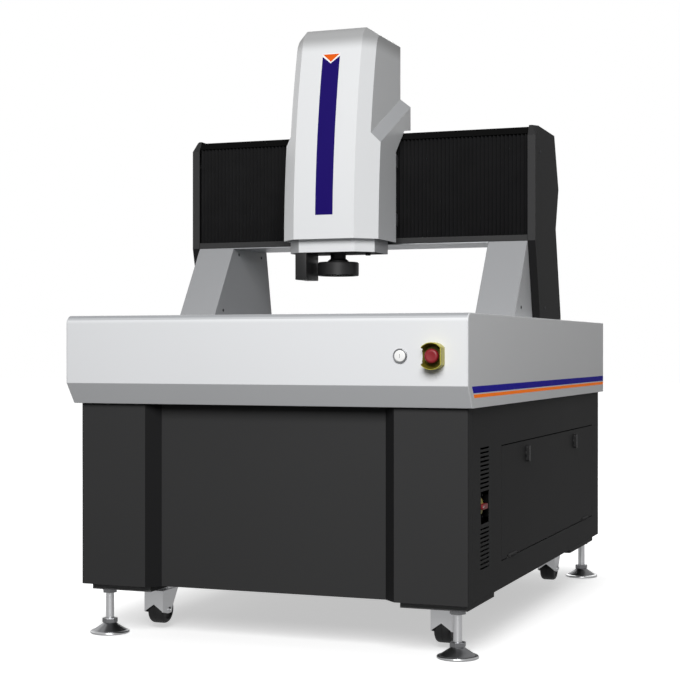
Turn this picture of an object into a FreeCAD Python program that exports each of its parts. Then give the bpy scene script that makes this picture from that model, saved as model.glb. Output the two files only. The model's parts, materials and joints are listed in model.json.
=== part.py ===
import FreeCAD, Part
import math
import os

os.makedirs("parts", exist_ok=True)

V = FreeCAD.Vector

# Every length is in millimetres. X runs to the right, Y to the back and Z up.
# The origin lies on the floor, midway across and midway from the tip of the stop button to the back apron.
# The heights and widths come from the photograph, through a camera fitted to the straight edges.

# Gaps and fits
SEAT = 0.3                  # gap left where one part rests on another
RUN = 0.05                  # radial clearance of a shaft that turns or slides in a bore

# Table: the light cover around the granite
TABLE_W = 1100.0            # width across the side aprons
TABLE_D = 1647.0            # depth from front to back apron
TABLE_Z = 852.0             # height of the table top
APRON_H = 231.0             # height of the light band round the table
APRON_BEVEL_H = 54.0        # the front face turns under over this height
APRON_BEVEL_IN = 39.6       # how far the lower front edge is set back
APRON_TOP_R = 21.0          # rounding along the top front edge
APRON_T = 3.0
APRON_FLANGE = 22.0
APRON_EDGE_R = 2.5
DECK_T = 2.5
DECK_POST = 30.0            # the short posts that carry the deck on the granite
GUARD_DEPTH = 33.0          # the stop button's collar stands this far ahead of the front
FRONT = -(TABLE_D - GUARD_DEPTH - SEAT) / 2
BACK = FRONT + TABLE_D
HALF_W = TABLE_W / 2
APRON_BOTTOM = TABLE_Z - APRON_H
APRON_BEVEL_TOP = APRON_BOTTOM + APRON_BEVEL_H

# Cabinet below the table
CAB_HALF = HALF_W - 15.5     # the cabinet stands in under the aprons
CAB_FRONT = FRONT + 53.0
CAB_BACK = BACK - 9.0
CAB_BOTTOM = 139.5
SHEET = 2.0
RECESS = 32.0               # the middle front panel is set back this far
CORNER_W = 190.0            # width of a front corner column before its slanted edge
SEAM = 3.0                  # open line between a door and its frame
FRAME_IN = 12.0             # the base frame lies this far inside the cabinet's sides
LIP_OUT = 20.0              # the stiffening lip behind the door opening stands this far outside it

# Foot blocks, levelling feet and casters
BLOCK_W = 174.0
BLOCK_X1 = CAB_HALF - 12.5
BLOCK_X0 = BLOCK_X1 - BLOCK_W
BLOCK_BOTTOM = CAB_BOTTOM - 18.5
BLOCK_TOP = CAB_BOTTOM + 50.5
BLOCK_FRONT_Y = (CAB_FRONT + 38.0, CAB_FRONT + 287.0)
BLOCK_REAR_Y = (CAB_BACK - 383.0, CAB_BACK - 34.0)
POST = 70.0
POST_WALL = 5.0
POST_X0 = BLOCK_X1 - POST
FOOT_X = CAB_HALF - 46.9
FOOT_FRONT_Y = CAB_FRONT + 70.0
FOOT_REAR_Y = CAB_BACK - 48.0
PAD_R = 52.5
PAD_RIM = 6.0
PAD_NECK_R = 16.0
PAD_NECK_Z = 29.0
COLLAR_AF = 36.0            # across the flats of the hexagon collars and nuts
COLLAR_TOP = 40.0
SPINDLE_R = 11.0
SPINDLE_TOP = BLOCK_TOP + 46.0
NUT_H = 8.0
NUT_FLANGE_R = 21.0
NUT_FLANGE_H = 3.5
CASTER_X = (-CAB_HALF + 148.5, CAB_HALF - 107.5)
CASTER_FRONT_Y = CAB_FRONT + 198.0
CASTER_REAR_Y = CAB_BACK - 235.0
CASTER_OFFSET = 28.0        # the wheel stands this far ahead of its swivel axis
CASTER_PLATE = (74.0, 88.0, 3.0)
WHEEL_R = 37.5
WHEEL_W = 46.0
WHEEL_Z = 54.0
WHEEL_EDGE = 9.0            # rounding of the wheel's shoulders
WHEEL_STEPS = 4             # flats that make up that rounding
WHEEL_RIM = 12.0            # from the tread to the dished side
WHEEL_DISH = 4.0
HUB_R = 11.0
AXLE_R = 5.0
FORK_GAP = 50.0
HOOD_GAP = 1.5              # left between the wheel and the hood in front of it
HOOD_Z = (52.0, 72.0)       # the hood's lower edge at its corners and in its middle
FORK_T = 3.0
SWIVEL_R = 26.0
SWIVEL_H = 11.0
KING_R = 7.0

# Right side: vents, main switch and door
VENT_Y = (FRONT + 163.0, FRONT + 247.0)
VENT_COUNT = 10
VENT_PITCH = 10.9
VENT_H = 5.0
VENT_TOPS = (APRON_BOTTOM - 103.0, APRON_BOTTOM - 305.0)
REAR_VENT_X = (CAB_HALF - 304.5, CAB_HALF - 134.5)
REAR_VENT_TOP = APRON_BOTTOM - 151.0
INLET_Z = CAB_BOTTOM + 150.5
SWITCH_Y = (FRONT + 167.0, FRONT + 247.0)
SWITCH_Z = (APRON_BOTTOM - 295.0, APRON_BOTTOM - 213.0)
SWITCH_AXIS = (SWITCH_Y[0] + 36.0, SWITCH_Z[0] + 43.0)
SWITCH_DEPTH = 15.0         # the switch plate lies this far behind the side sheet
DOOR_Y = (FRONT + 367.0, BACK - 111.0)
DOOR_Z = (CAB_BOTTOM + 70.5, APRON_BOTTOM - 107.5)
DOOR_FLANGE = 18.0
LATCH_Y = (DOOR_Y[0] + 269.5, DOOR_Y[1] - 283.5)
LATCH_Z = DOOR_Z[1] - 38.5
LATCH_BOSS_R = 8.0
LATCH_BAR = (10.0, 13.0, 45.0)
CAM_REACH = 48.0
HINGE_R = 1.8
KNUCKLE_R = 4.0
HINGE_Z = DOOR_Z[0] + 6.0   # the pin lies in the door's outer face
HINGE_Y = (DOOR_Y[0] + 113.0, DOOR_Y[1] - 113.0)
HINGE_LEN = 60.0

# Motion controller on the cabinet floor
CONTROLLER = (400.0, 450.0, 220.0)
CONTROLLER_AT = (-250.0, CAB_FRONT + 503.85)
CONTROLLER_FOOT = 12.0

# Granite table, stage and its guides
GRANITE_HALF = HALF_W - 33.0
GRANITE_Y = (FRONT + 60.0, BACK - 57.0)
GRANITE_TOP = TABLE_Z - 62.0
LEG_W = 115.1
LEG_OUT = HALF_W - 35.4
LEG_IN = LEG_OUT - LEG_W
LENS_Y = FRONT + 573.0      # the lens axis; the stage is centred under it
STAGE_HALF_X = LEG_IN - 59.5
STAGE_HALF_Y = 285.0
STAGE_T = 22.0
STAGE_TOP = TABLE_Z - 1.0
STAGE_TRAVEL = 200.0
STAGE_GAP = 10.0
GLASS_HALF_X = STAGE_HALF_X - 78.0
GLASS_HALF_Y = STAGE_HALF_Y - 73.0
GLASS_T = 8.0
GLASS_LEDGE = 12.0
Y_RAIL_X = STAGE_HALF_X - 90.0
Y_RAIL = (20.0, 22.0)
CARRIAGE_W = 48.0
CARRIAGE_L = 90.0
CARRIAGE_DROP = 12.0
Y_SCREW_X = 110.0
Y_SCREW_Z = GRANITE_TOP + 22.0
SCREW_R = 8.0
NUT_LEN = 60.0
NUT_BACK = 8.0              # from the nut to the stage's rear edge
BEARING_LEN = 30.0
BEARING_GAP = 4.0           # left between the nut and the rear bearing block at the end of the travel
PULLEY_R = 17.0
PULLEY_LEN = 24.0

# Bridge
LEG_H = 219.7               # from the table top to the beam
LEG_EDGE = 1.5
LEG_TOP = TABLE_Z + LEG_H
BEAM_H = 316.3
BEAM_TOP = LEG_TOP + BEAM_H
LEG_SIDE = (
    (584.0, TABLE_Z),
    (597.0, TABLE_Z + 20.0),
    (728.0, LEG_TOP),
    (979.0, LEG_TOP),
    (1020.0, TABLE_Z + 28.0),
    (1026.0, TABLE_Z),
)
COVER_DEEP = 23.4           # how far the dark end covers stand outside the legs
COVER_OUT = LEG_OUT + COVER_DEEP
COVER_T = 2.0
COVER_SIDE = (
    (728.0, LEG_TOP + 0.3),
    (728.0, BEAM_TOP - 18.0),
    (745.0, BEAM_TOP + 14.0),
    (966.0, BEAM_TOP + 10.0),
    (1022.0, BEAM_TOP - 145.0),
    (985.0, LEG_TOP + 50.3),
    (1051.0, TABLE_Z + 13.0),
    (1051.0, TABLE_Z + 1.0),
    (786.0, TABLE_Z + 1.0),
)
COVER_SCREWS = (
    (784.0, BEAM_TOP - 59.0),
    (976.0, BEAM_TOP - 59.0),
    (843.0, TABLE_Z + 32.0),
    (1032.0, TABLE_Z + 32.0),
)
COVER_FACET = 14.0          # width of the facet across the cover's top front corner
BEAM_HALF = LEG_OUT - 0.2
BEAM_Y = (FRONT + 765.0, FRONT + 940.0)
BEAM_FACE_Y = FRONT + 728.5
SILL_T = 2.2                # the sheet that closes the beam from below
SILL_Z = (LEG_TOP - SILL_T, LEG_TOP)
BELLOWS_Z = (LEG_TOP + 17.9, BEAM_TOP - 12.6)
GUIDE_TOP_Z = BEAM_TOP + 9.0
REAR_COVER_SIDE = (
    (941.0, BEAM_TOP),
    (966.0, BEAM_TOP),
    (1016.0, BEAM_TOP - 145.0),
    (981.0, LEG_TOP + 52.3),
    (981.0, LEG_TOP + 6.3),
    (941.0, LEG_TOP + 6.3),
)
X_RAIL_Z = (LEG_TOP + 63.3, BEAM_TOP - 63.0)
X_RAIL = (18.0, 20.0)
X_RAIL_HALF = BEAM_HALF - 14.4
BELLOWS_FRONT = BEAM_FACE_Y + 0.5
BELLOWS_DEPTH = 14.0
BELLOWS_FOLDS = 70
BELLOWS_T = 1.2
NECK_HALF = 104.0           # half width of the saddle where it passes between the bellows

# Head
HEAD_FLAT = 90.0            # half width of the flat front band
HEAD_HALF = 142.7           # half width of the lower part
HEAD_UPPER = 121.0          # half width above the shoulder
HEAD_BEVEL = 1.08           # how fast the bevel runs back for each millimetre out
HEAD_FRONT = FRONT + 456.0
HEAD_H = 604.0
HEAD_BOTTOM = LEG_TOP + 0.3
HEAD_ROOF = HEAD_BOTTOM + HEAD_H
HEAD_ROOF_SIDE = HEAD_ROOF - 21.0
HEAD_ARC_R = 2290.0
HEAD_BROW = (38.0, 46.0)     # depth and height of the rounding between front and roof
HEAD_WING_DROP = 0.4        # how fast the bevel falls for each millimetre out
HEAD_BACK = FRONT + 801.0
HEAD_BACK_UP = FRONT + 771.0
HEAD_OVER = 24.0            # open height between the beam and the head where it reaches over
HEAD_SHELL = 3.0
HEAD_REAR_LOW = FRONT + 666.0
SHOULDER_Y = FRONT + 525.0
SHOULDER_Z = HEAD_BOTTOM + 269.0
SHOULDER_RISE = 0.507
SHOULDER_UP = 36.0
SADDLE_Y = (FRONT + 684.0, FRONT + 722.0)
SADDLE_HALF = 112.0
SADDLE_Z = (LEG_TOP + 22.3, BEAM_TOP - 22.0)
COLUMN_HALF = 80.0
COLUMN_TOP = HEAD_ROOF - 46.0
Z_RAIL_X = 58.0
Z_RAIL = (16.0, 14.0)
Z_PLATE_Y = (FRONT + 640.0, FRONT + 667.0)
Z_PLATE_HALF = 85.0
Z_PLATE_Z = (HEAD_BOTTOM - 26.0, HEAD_BOTTOM + 228.0)
SHELF_Z = (HEAD_BOTTOM - 33.0, HEAD_BOTTOM - 20.0)
SHELF_Y = FRONT + 500.0
SKIRT_FLAT = 83.4
SKIRT_HALF = 127.7
SKIRT_FRONT = FRONT + 478.6
SKIRT_SIDE_Y = FRONT + 525.4
SKIRT_BACK = FRONT + 638.0
SKIRT_Z = (HEAD_BOTTOM - 36.0, HEAD_BOTTOM + 102.0)
SKIRT_T = 2.4
NECK_R = 22.0
BARREL_R = 31.0
BARREL_TOP = HEAD_BOTTOM + 124.0
CAMERA = (52.0, 52.0, 70.0)
RING_R = 59.0
RING_HOLE_R = 24.0
RING_Z = (HEAD_BOTTOM - 98.5, HEAD_BOTTOM - 60.0)
LASER_X = (-94.4, -60.5)
LASER_Y = (FRONT + 478.8, FRONT + 572.0)
LASER_Z = (HEAD_BOTTOM - 112.0, HEAD_BOTTOM - 36.3)

# Controls on the front
BUTTON = (HALF_W - 171.0, TABLE_Z - 104.3)
BEZEL_R = 18.0
BEZEL_OUT = 4.0
BARREL_IN = 30.0
CAP_R = 12.0
CAP_OUT = 6.0
CAP_TRAVEL = 2.0
CAP_EDGE = 1.0
ESTOP = (HALF_W - 84.0, TABLE_Z - 104.5)
GUARD_R = 33.0
GUARD_WALL = 5.0
GUARD_CUT = 22.0
GUARD_CUT_AT = 44.0
ESTOP_HEAD_R = 19.0
ESTOP_STEM_R = 8.0
ESTOP_NOSE_R = 4.0


def box(x, y, z):
    """A box between two corners given as pairs along each axis."""
    return Part.makeBox(x[1] - x[0], y[1] - y[0], z[1] - z[0], V(x[0], y[0], z[0]))


def rod(r, start, length, along):
    """A round bar from a start point along a direction."""
    return Part.makeCylinder(r, length, V(*start), V(*along))


def fuse(parts):
    """One clean solid from several that touch."""
    whole = parts[0].fuse(parts[1:])
    return whole.removeSplitter()


def cut(solid, tools):
    """A solid with tools taken away."""
    for tool in tools:
        solid = solid.cut(tool)
    return solid


def flip(solid):
    """The same solid on the other side of the machine."""
    return solid.mirror(V(0, 0, 0), V(1, 0, 0))


def prism_x(points, x0, x1):
    """A side outline of (Y, Z) points drawn out from x0 to x1."""
    corners = [V(x0, y, z) for y, z in points]
    face = Part.Face(Part.makePolygon(corners + [corners[0]]))
    return face.extrude(V(x1 - x0, 0, 0))


def prism_z(points, z0, z1):
    """A plan outline of (X, Y) points drawn up from z0 to z1."""
    corners = [V(x, y, z0) for x, y in points]
    face = Part.Face(Part.makePolygon(corners + [corners[0]]))
    return face.extrude(V(0, 0, z1 - z0))


def prism_y(points, y0, y1):
    """A front outline of (X, Z) points drawn back from y0 to y1."""
    corners = [V(x, y0, z) for x, z in points]
    face = Part.Face(Part.makePolygon(corners + [corners[0]]))
    return face.extrude(V(0, y1 - y0, 0))


def turned(points, x, y):
    """A solid of revolution about an upright axis from (radius, height) points."""
    corners = [V(x + r, y, z) for r, z in points]
    face = Part.Face(Part.makePolygon(corners + [corners[0]]))
    return face.revolve(V(x, y, 0), V(0, 0, 1), 360)


def shifted(points):
    """Side points measured from the front apron, moved into the machine's own frame."""
    return [(FRONT + y, z) for y, z in points]


def hexagon(x, y, across, z0, z1):
    """A hexagonal bar on an upright axis."""
    r = across / math.sqrt(3)
    corners = []
    for i in range(6):
        angle = math.radians(60 * i)
        corners.append((x + r * math.cos(angle), y + r * math.sin(angle)))
    return prism_z(corners, z0, z1)


def save(name, shape):
    """Write one sub-part."""
    shape.exportStep("parts/" + name + ".step")


def both_signs():
    """Left and right."""
    return (-1, 1)


def corner_spots(front_y, rear_y, left, right):
    """The four corners of the machine with their short names."""
    return (("fl", left, front_y), ("fr", right, front_y), ("rl", left, rear_y), ("rr", right, rear_y))


# Steel base

def angle_x(y_out, y_in, z_out, z_in, wall):
    """An angle bar along X: an upright leg on the outside and a flat leg at its outer height."""
    lo_y = min(y_out, y_in)
    hi_y = max(y_out, y_in)
    lo_z = min(z_out, z_in)
    hi_z = max(z_out, z_in)
    span = (-CAB_HALF + FRAME_IN, CAB_HALF - FRAME_IN)
    leg_y = (y_out, y_out + wall) if y_in > y_out else (y_out - wall, y_out)
    leg_z = (z_out, z_out + wall) if z_in > z_out else (z_out - wall, z_out)
    return [box(span, leg_y, (lo_z, hi_z)), box(span, (lo_y, hi_y), leg_z)]


def angle_y(side, z_out, z_in, wall):
    """An angle bar along Y on one side of the base."""
    lo_z = min(z_out, z_in)
    hi_z = max(z_out, z_in)
    leg_z = (z_out, z_out + wall) if z_in > z_out else (z_out - wall, z_out)
    span = (CAB_FRONT + RECESS + 8, CAB_BACK - 6)
    x_out = CAB_HALF - FRAME_IN
    upright = box((x_out - wall, x_out), span, (lo_z, hi_z))
    flat = box((x_out - 80, x_out), span, leg_z)
    return [upright, flat] if side > 0 else [flip(upright), flip(flat)]


def base_frame():
    y0 = CAB_FRONT + RECESS + 8
    y1 = CAB_BACK - 6
    top = APRON_BOTTOM - SEAT
    low = CAB_BOTTOM + 1
    wall = 7.0
    bars = []
    bars += angle_x(y0, y0 + 80, top, top - 80, wall)
    bars += angle_x(y1, y1 - 80, top, top - 80, wall)
    bars += angle_x(y0, y0 + 60, low, low + 60, wall)
    bars += angle_x(y1, y1 - 60, low, low + 60, wall)
    for side in both_signs():
        bars += angle_y(side, top, top - 80, wall)
        bars += angle_y(side, low, low + 60, wall)
    for share in (0.25, 0.5, 0.75):
        y = y0 + share * (y1 - y0)
        bars.append(box((-CAB_HALF + 20, CAB_HALF - 20), (y - 40, y + 40), (top - wall, top)))
        bars.append(box((-CAB_HALF + 20, CAB_HALF - 20), (y - 4, y + 4), (top - 70, top)))
    bars.append(box((-CAB_HALF + 13, CAB_HALF - 13), (y0 + 1, y1 - 1), (low, low + 3)))
    holes = []
    for name, x, y in corner_spots(FOOT_FRONT_Y, FOOT_REAR_Y, -FOOT_X, FOOT_X):
        block = BLOCK_FRONT_Y if y < 0 else BLOCK_REAR_Y
        span = (BLOCK_X0, BLOCK_X1) if x > 0 else (-BLOCK_X1, -BLOCK_X0)
        bars.append(box(span, block, (BLOCK_BOTTOM, BLOCK_TOP)))
        post_x = (POST_X0, POST_X0 + POST) if x > 0 else (-POST_X0 - POST, -POST_X0)
        post_y = (y0 - 1, y0 + POST) if y < 0 else (y1 - POST, y1)
        bars.append(box(post_x, post_y, (CAB_BOTTOM + 4, top - 2)))
        hollow_x = (post_x[0] + POST_WALL, post_x[1] - POST_WALL)
        hollow_y = (post_y[0] + POST_WALL, post_y[1] - POST_WALL)
        holes.append(box(hollow_x, hollow_y, (BLOCK_TOP, top - 12)))
        holes.append(rod(SPINDLE_R + RUN, (x, y, BLOCK_BOTTOM - 1), BLOCK_TOP, (0, 0, 1)))
        out = (BLOCK_X1 - 22, BLOCK_X1 + 18)
        side_x = out if x > 0 else (-out[1], -out[0])
        holes.append(box(side_x, (y - 20, y + 20), (BLOCK_TOP + 40, top - 120)))
    return cut(fuse(bars), holes)


def foot(x, y):
    """One levelling foot: a round pad with a cone, a hexagon collar and a threaded spindle."""
    outline = [
        (0, 0),
        (PAD_R - 1.5, 0),
        (PAD_R, 1.5),
        (PAD_R, PAD_RIM - 1),
        (PAD_R - 2, PAD_RIM + 1),
        (PAD_R - 9, PAD_RIM + 3),
        (PAD_NECK_R + 7, PAD_NECK_Z - 6),
        (PAD_NECK_R, PAD_NECK_Z),
        (SPINDLE_R, PAD_NECK_Z + 1),
        (SPINDLE_R, SPINDLE_TOP - 2),
        (SPINDLE_R - 2, SPINDLE_TOP),
        (0, SPINDLE_TOP),
    ]
    return fuse([turned(outline, x, y), hexagon(x, y, COLLAR_AF, PAD_NECK_Z - 1, COLLAR_TOP)])


def foot_locknuts():
    nuts = []
    top = BLOCK_BOTTOM - SEAT
    for name, x, y in corner_spots(FOOT_FRONT_Y, FOOT_REAR_Y, -FOOT_X, FOOT_X):
        flange = rod(NUT_FLANGE_R, (x, y, top - NUT_FLANGE_H), NUT_FLANGE_H, (0, 0, 1))
        body = hexagon(x, y, COLLAR_AF, top - NUT_FLANGE_H - NUT_H, top - NUT_FLANGE_H)
        nut = fuse([flange, body])
        nuts.append(nut.cut(rod(SPINDLE_R + RUN, (x, y, top - 40), 60, (0, 0, 1))))
    return Part.makeCompound(nuts)


def caster_plates():
    plates = []
    top = BLOCK_BOTTOM - SEAT
    half_x = CASTER_PLATE[0] / 2
    half_y = CASTER_PLATE[1] / 2
    for name, x, y in corner_spots(CASTER_FRONT_Y, CASTER_REAR_Y, *CASTER_X):
        plate = box((x - half_x, x + half_x), (y - half_y, y + half_y), (top - CASTER_PLATE[2], top))
        pin = rod(KING_R, (x, y, top - CASTER_PLATE[2] - SWIVEL_H - 2), SWIVEL_H + 4, (0, 0, 1))
        plates.append(fuse([plate, pin]))
    return Part.makeCompound(plates)


def caster_fork(x, y):
    """The swivelling fork: a round head, two slanting cheeks and the axle between them."""
    top = BLOCK_BOTTOM - SEAT - CASTER_PLATE[2] - SEAT
    head = rod(SWIVEL_R, (x, y, top - SWIVEL_H), SWIVEL_H, (0, 0, 1))
    wy = y - CASTER_OFFSET
    low = top - SWIVEL_H
    front = wy - WHEEL_R - HOOD_GAP - FORK_T
    cheeks = []
    for side in both_signs():
        inner = x + side * FORK_GAP / 2
        outer = x + side * (FORK_GAP / 2 + FORK_T)
        outline = [
            (y + 22, low + 3),
            (front, low + 3),
            (front, HOOD_Z[0]),
            (wy - 12, WHEEL_Z - 9),
            (wy + 9, WHEEL_Z - 9),
            (wy + 15, WHEEL_Z + 6),
        ]
        cheeks.append(prism_x(outline, min(inner, outer), max(inner, outer)))
    wide = FORK_GAP / 2 + FORK_T
    crown = box((x - wide, x + wide), (front, y + 22), (low, low + FORK_T))
    hood = [
        (x - wide, low + 3),
        (x + wide, low + 3),
        (x + wide, HOOD_Z[0]),
        (x, HOOD_Z[1]),
        (x - wide, HOOD_Z[0]),
    ]
    cheeks.append(prism_y(hood, front, front + FORK_T))
    half = wide + 4
    axle = rod(AXLE_R, (x - half, wy, WHEEL_Z), 2 * half, (1, 0, 0))
    whole = fuse([head, crown, axle] + cheeks)
    hole = rod(KING_R + RUN, (x, y, low - 20), 40 + SWIVEL_H, (0, 0, 1))
    return whole.cut(hole)


def caster_wheel(x, y):
    """A wide black wheel with rounded shoulders, turning on the fork's axle."""
    wy = y - CASTER_OFFSET
    half = WHEEL_W / 2
    bore = AXLE_R + RUN
    rim = WHEEL_R - WHEEL_RIM
    side = [(bore, half), (HUB_R, half), (HUB_R, half - WHEEL_DISH), (rim, half - WHEEL_DISH), (rim, half)]
    for i in range(WHEEL_STEPS + 1):
        angle = math.radians(90.0 * i / WHEEL_STEPS)
        r = WHEEL_R - WHEEL_EDGE * (1 - math.sin(angle))
        side.append((r, half - WHEEL_EDGE * (1 - math.cos(angle))))
    corners = [V(x + a, wy, WHEEL_Z + r) for r, a in side]
    corners += [V(x - a, wy, WHEEL_Z + r) for r, a in side[::-1]]
    face = Part.Face(Part.makePolygon(corners + [corners[0]]))
    return face.revolve(V(x, wy, WHEEL_Z), V(1, 0, 0), 360)


# Cabinet panels

def corner_cover():
    """The right front corner: a flat column with a slanting inner edge that meets the set-back panel."""
    inner = CAB_HALF - CORNER_W
    outline = [
        (CAB_HALF, CAB_FRONT),
        (inner, CAB_FRONT),
        (inner - RECESS, CAB_FRONT + RECESS),
        (inner - RECESS, CAB_FRONT + RECESS + SHEET),
        (inner - RECESS + 2.5, CAB_FRONT + RECESS + SHEET),
        (inner + 0.9, CAB_FRONT + SHEET),
        (CAB_HALF - SHEET, CAB_FRONT + SHEET),
        (CAB_HALF - SHEET, CAB_FRONT + RECESS + 7),
        (CAB_HALF, CAB_FRONT + RECESS + 7),
    ]
    return prism_z(outline, CAB_BOTTOM, APRON_BOTTOM - SEAT)


def front_panel():
    half = CAB_HALF - CORNER_W - RECESS - SEAT
    y = (CAB_FRONT + RECESS, CAB_FRONT + RECESS + SHEET)
    sheet = box((-half, half), y, (CAB_BOTTOM, APRON_BOTTOM - SEAT))
    hem = box((-half + 8, half - 8), (y[1], y[1] + 5.6), (CAB_BOTTOM + 2, CAB_BOTTOM + 14))
    return fuse([sheet, hem])


def vent_slots(x, top):
    """A column of narrow slots through a side panel."""
    slots = []
    for i in range(VENT_COUNT):
        z = top - i * VENT_PITCH
        slots.append(box((x - 6, x + 6), VENT_Y, (z - VENT_H, z)))
    return slots


def side_panel(x):
    """A side sheet with its two columns of slots."""
    y = (CAB_FRONT + RECESS + 7.3, CAB_BACK - SHEET - SEAT)
    sheet = box((x - SHEET, x), y, (CAB_BOTTOM, APRON_BOTTOM - SEAT))
    hems = []
    for z in ((CAB_BOTTOM + 2, CAB_BOTTOM + 16), (APRON_BOTTOM - 20, APRON_BOTTOM - 6)):
        hems.append(box((x - 11.7, x - SHEET), (y[0] + 20, y[1] - 20), z))
    sheet = fuse([sheet] + hems)
    slots = vent_slots(x, VENT_TOPS[0]) + vent_slots(x, VENT_TOPS[1])
    return cut(sheet, slots)


def side_panel_right():
    sheet = side_panel(CAB_HALF)
    lip_x = (CAB_HALF - FRAME_IN + SEAT, CAB_HALF - SHEET)
    outer_y = (DOOR_Y[0] - LIP_OUT, DOOR_Y[1] + LIP_OUT)
    outer_z = (DOOR_Z[0] - LIP_OUT, DOOR_Z[1] + LIP_OUT)
    inner_y = (outer_y[0] + SHEET, outer_y[1] - SHEET)
    inner_z = (outer_z[0] + SHEET, outer_z[1] - SHEET)
    lip = box(lip_x, outer_y, outer_z).cut(box(lip_x, inner_y, inner_z))
    sheet = fuse([sheet, lip])
    window = box((CAB_HALF - 20, CAB_HALF + 5), SWITCH_Y, SWITCH_Z)
    opening = box((CAB_HALF - 10, CAB_HALF + 5), DOOR_Y, DOOR_Z)
    sheet = cut(sheet, [window, opening])
    pins = []
    for y in HINGE_Y:
        for side in both_signs():
            near = y + side * (HINGE_LEN / 2 + 0.5)
            far = near + side * 10
            span = (min(near, far), max(near, far))
            pins.append(box((CAB_HALF - SHEET, CAB_HALF), span, (DOOR_Z[0] - 6, HINGE_Z)))
            pins.append(rod(KNUCKLE_R, (CAB_HALF, span[0], HINGE_Z), 10, (0, 1, 0)))
        pins.append(rod(HINGE_R, (CAB_HALF, y - HINGE_LEN / 2 - 6, HINGE_Z), HINGE_LEN + 12, (0, 1, 0)))
    return fuse([sheet] + pins)


def door_right():
    """The lift-down service door with knuckles on its lower edge."""
    y = (DOOR_Y[0] + SEAM, DOOR_Y[1] - SEAM)
    z = (DOOR_Z[0] + SEAM, DOOR_Z[1] - SEAM)
    sheet = box((CAB_HALF - SHEET, CAB_HALF), y, z)
    rib_z = z[1] - 70
    top = box((CAB_HALF - DOOR_FLANGE, CAB_HALF - SHEET), (y[0] + 15, y[1] - 15), (rib_z - SHEET, rib_z))
    ends = []
    for end in (y[0] + 15, y[1] - 17):
        ends.append(box((CAB_HALF - DOOR_FLANGE, CAB_HALF - SHEET), (end, end + 2), (z[0] + 30, rib_z)))
    whole = [sheet, top] + ends
    for hy in HINGE_Y:
        whole.append(rod(KNUCKLE_R, (CAB_HALF, hy - HINGE_LEN / 2, HINGE_Z), HINGE_LEN, (0, 1, 0)))
    whole = fuse(whole)
    holes = []
    for hy in HINGE_Y:
        holes.append(rod(HINGE_R + RUN, (CAB_HALF, hy - HINGE_LEN, HINGE_Z), 2 * HINGE_LEN, (0, 1, 0)))
        for side in both_signs():
            near = hy + side * HINGE_LEN / 2
            far = near + side * 11
            span = (min(near, far), max(near, far))
            holes.append(box((CAB_HALF - 10, CAB_HALF + 5), span, (z[0] - 5, HINGE_Z + KNUCKLE_R + 1)))
    for ly in LATCH_Y:
        holes.append(rod(LATCH_BOSS_R + RUN, (CAB_HALF - 5, ly, LATCH_Z), 10, (1, 0, 0)))
    return cut(whole, holes)


def latch(y):
    """A quarter-turn latch: an upright handle outside, and a cam inside that lies level when open."""
    x = CAB_HALF + SEAT
    half_y = LATCH_BAR[1] / 2
    half_z = LATCH_BAR[2] / 2
    base = rod(LATCH_BOSS_R + 3.5, (x, y, LATCH_Z), 3, (1, 0, 0))
    bar = box((x, x + LATCH_BAR[0]), (y - half_y, y + half_y), (LATCH_Z - half_z, LATCH_Z + half_z))
    edges = [e for e in bar.Edges if abs(e.Vertexes[0].X - e.Vertexes[1].X) > 5]
    bar = bar.makeFillet(6.0, edges)
    boss = rod(LATCH_BOSS_R, (CAB_HALF - SHEET - 6, y, LATCH_Z), SHEET + 8, (1, 0, 0))
    cam_x = (CAB_HALF - SHEET - 6, CAB_HALF - SHEET - 3)
    cam = box(cam_x, (y - 8, y + CAM_REACH), (LATCH_Z - 8, LATCH_Z + 8))
    return fuse([base, bar, boss, cam])


def side_panel_left():
    return flip(side_panel(CAB_HALF))


def rear_panel():
    """The back sheet, with a grille low on one side and a plate for the mains inlet."""
    y = (CAB_BACK - SHEET, CAB_BACK)
    sheet = box((-CAB_HALF, CAB_HALF), y, (CAB_BOTTOM, APRON_BOTTOM - SEAT))
    hem = box((-CAB_HALF + 30, CAB_HALF - 30), (CAB_BACK - 5.7, y[0]), (CAB_BOTTOM + 2, CAB_BOTTOM + 14))
    sheet = fuse([sheet, hem])
    slots = []
    for i in range(VENT_COUNT):
        z = REAR_VENT_TOP - i * VENT_PITCH
        for x in (REAR_VENT_X, (-REAR_VENT_X[1], -REAR_VENT_X[0])):
            slots.append(box(x, (CAB_BACK - 10, CAB_BACK + 5), (z - VENT_H, z)))
    z = INLET_Z
    slots.append(box((-60, 60), (CAB_BACK - 4, CAB_BACK + 5), (z - 40, z + 40)))
    inlet = box((-64, 64), (CAB_BACK - SHEET - 1.5, CAB_BACK - SHEET + 0.2), (z - 44, z + 44))
    socket = box((-24, 24), (CAB_BACK - SHEET, CAB_BACK + 4), (z - 15, z + 15))
    well = box((-18, 18), (CAB_BACK - 1, CAB_BACK + 6), (z - 10, z + 10))
    return fuse([cut(sheet, slots), inlet, socket]).cut(well)


def switch_plate():
    """The plate of the main switch, set back in its window, with the switch body behind it."""
    y = (SWITCH_Y[0] + SEAM, SWITCH_Y[1] - SEAM)
    z = (SWITCH_Z[0] + SEAM, SWITCH_Z[1] - SEAM)
    x = CAB_HALF - SWITCH_DEPTH
    plate = box((x - 11, x - 8), (y[0] - 6, y[1] + 6), (z[0] - 6, z[1] + 6))
    face = box((x - 8, x), y, z)
    body = box((x - 68, x - 11), (y[0] + 6, y[1] - 6), (z[0] + 6, z[1] - 6))
    feet = []
    for edge in ((y[0] - 6, y[0] - 3.2), (y[1] + 3.2, y[1] + 6)):
        feet.append(box((x - 8, CAB_HALF - SHEET - SEAT), edge, (z[0] + 10, z[1] - 10)))
    whole = fuse([plate, face, body] + feet)
    return whole.cut(rod(5 + RUN, (x - 53, SWITCH_AXIS[0], SWITCH_AXIS[1]), 80, (1, 0, 0)))


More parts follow.
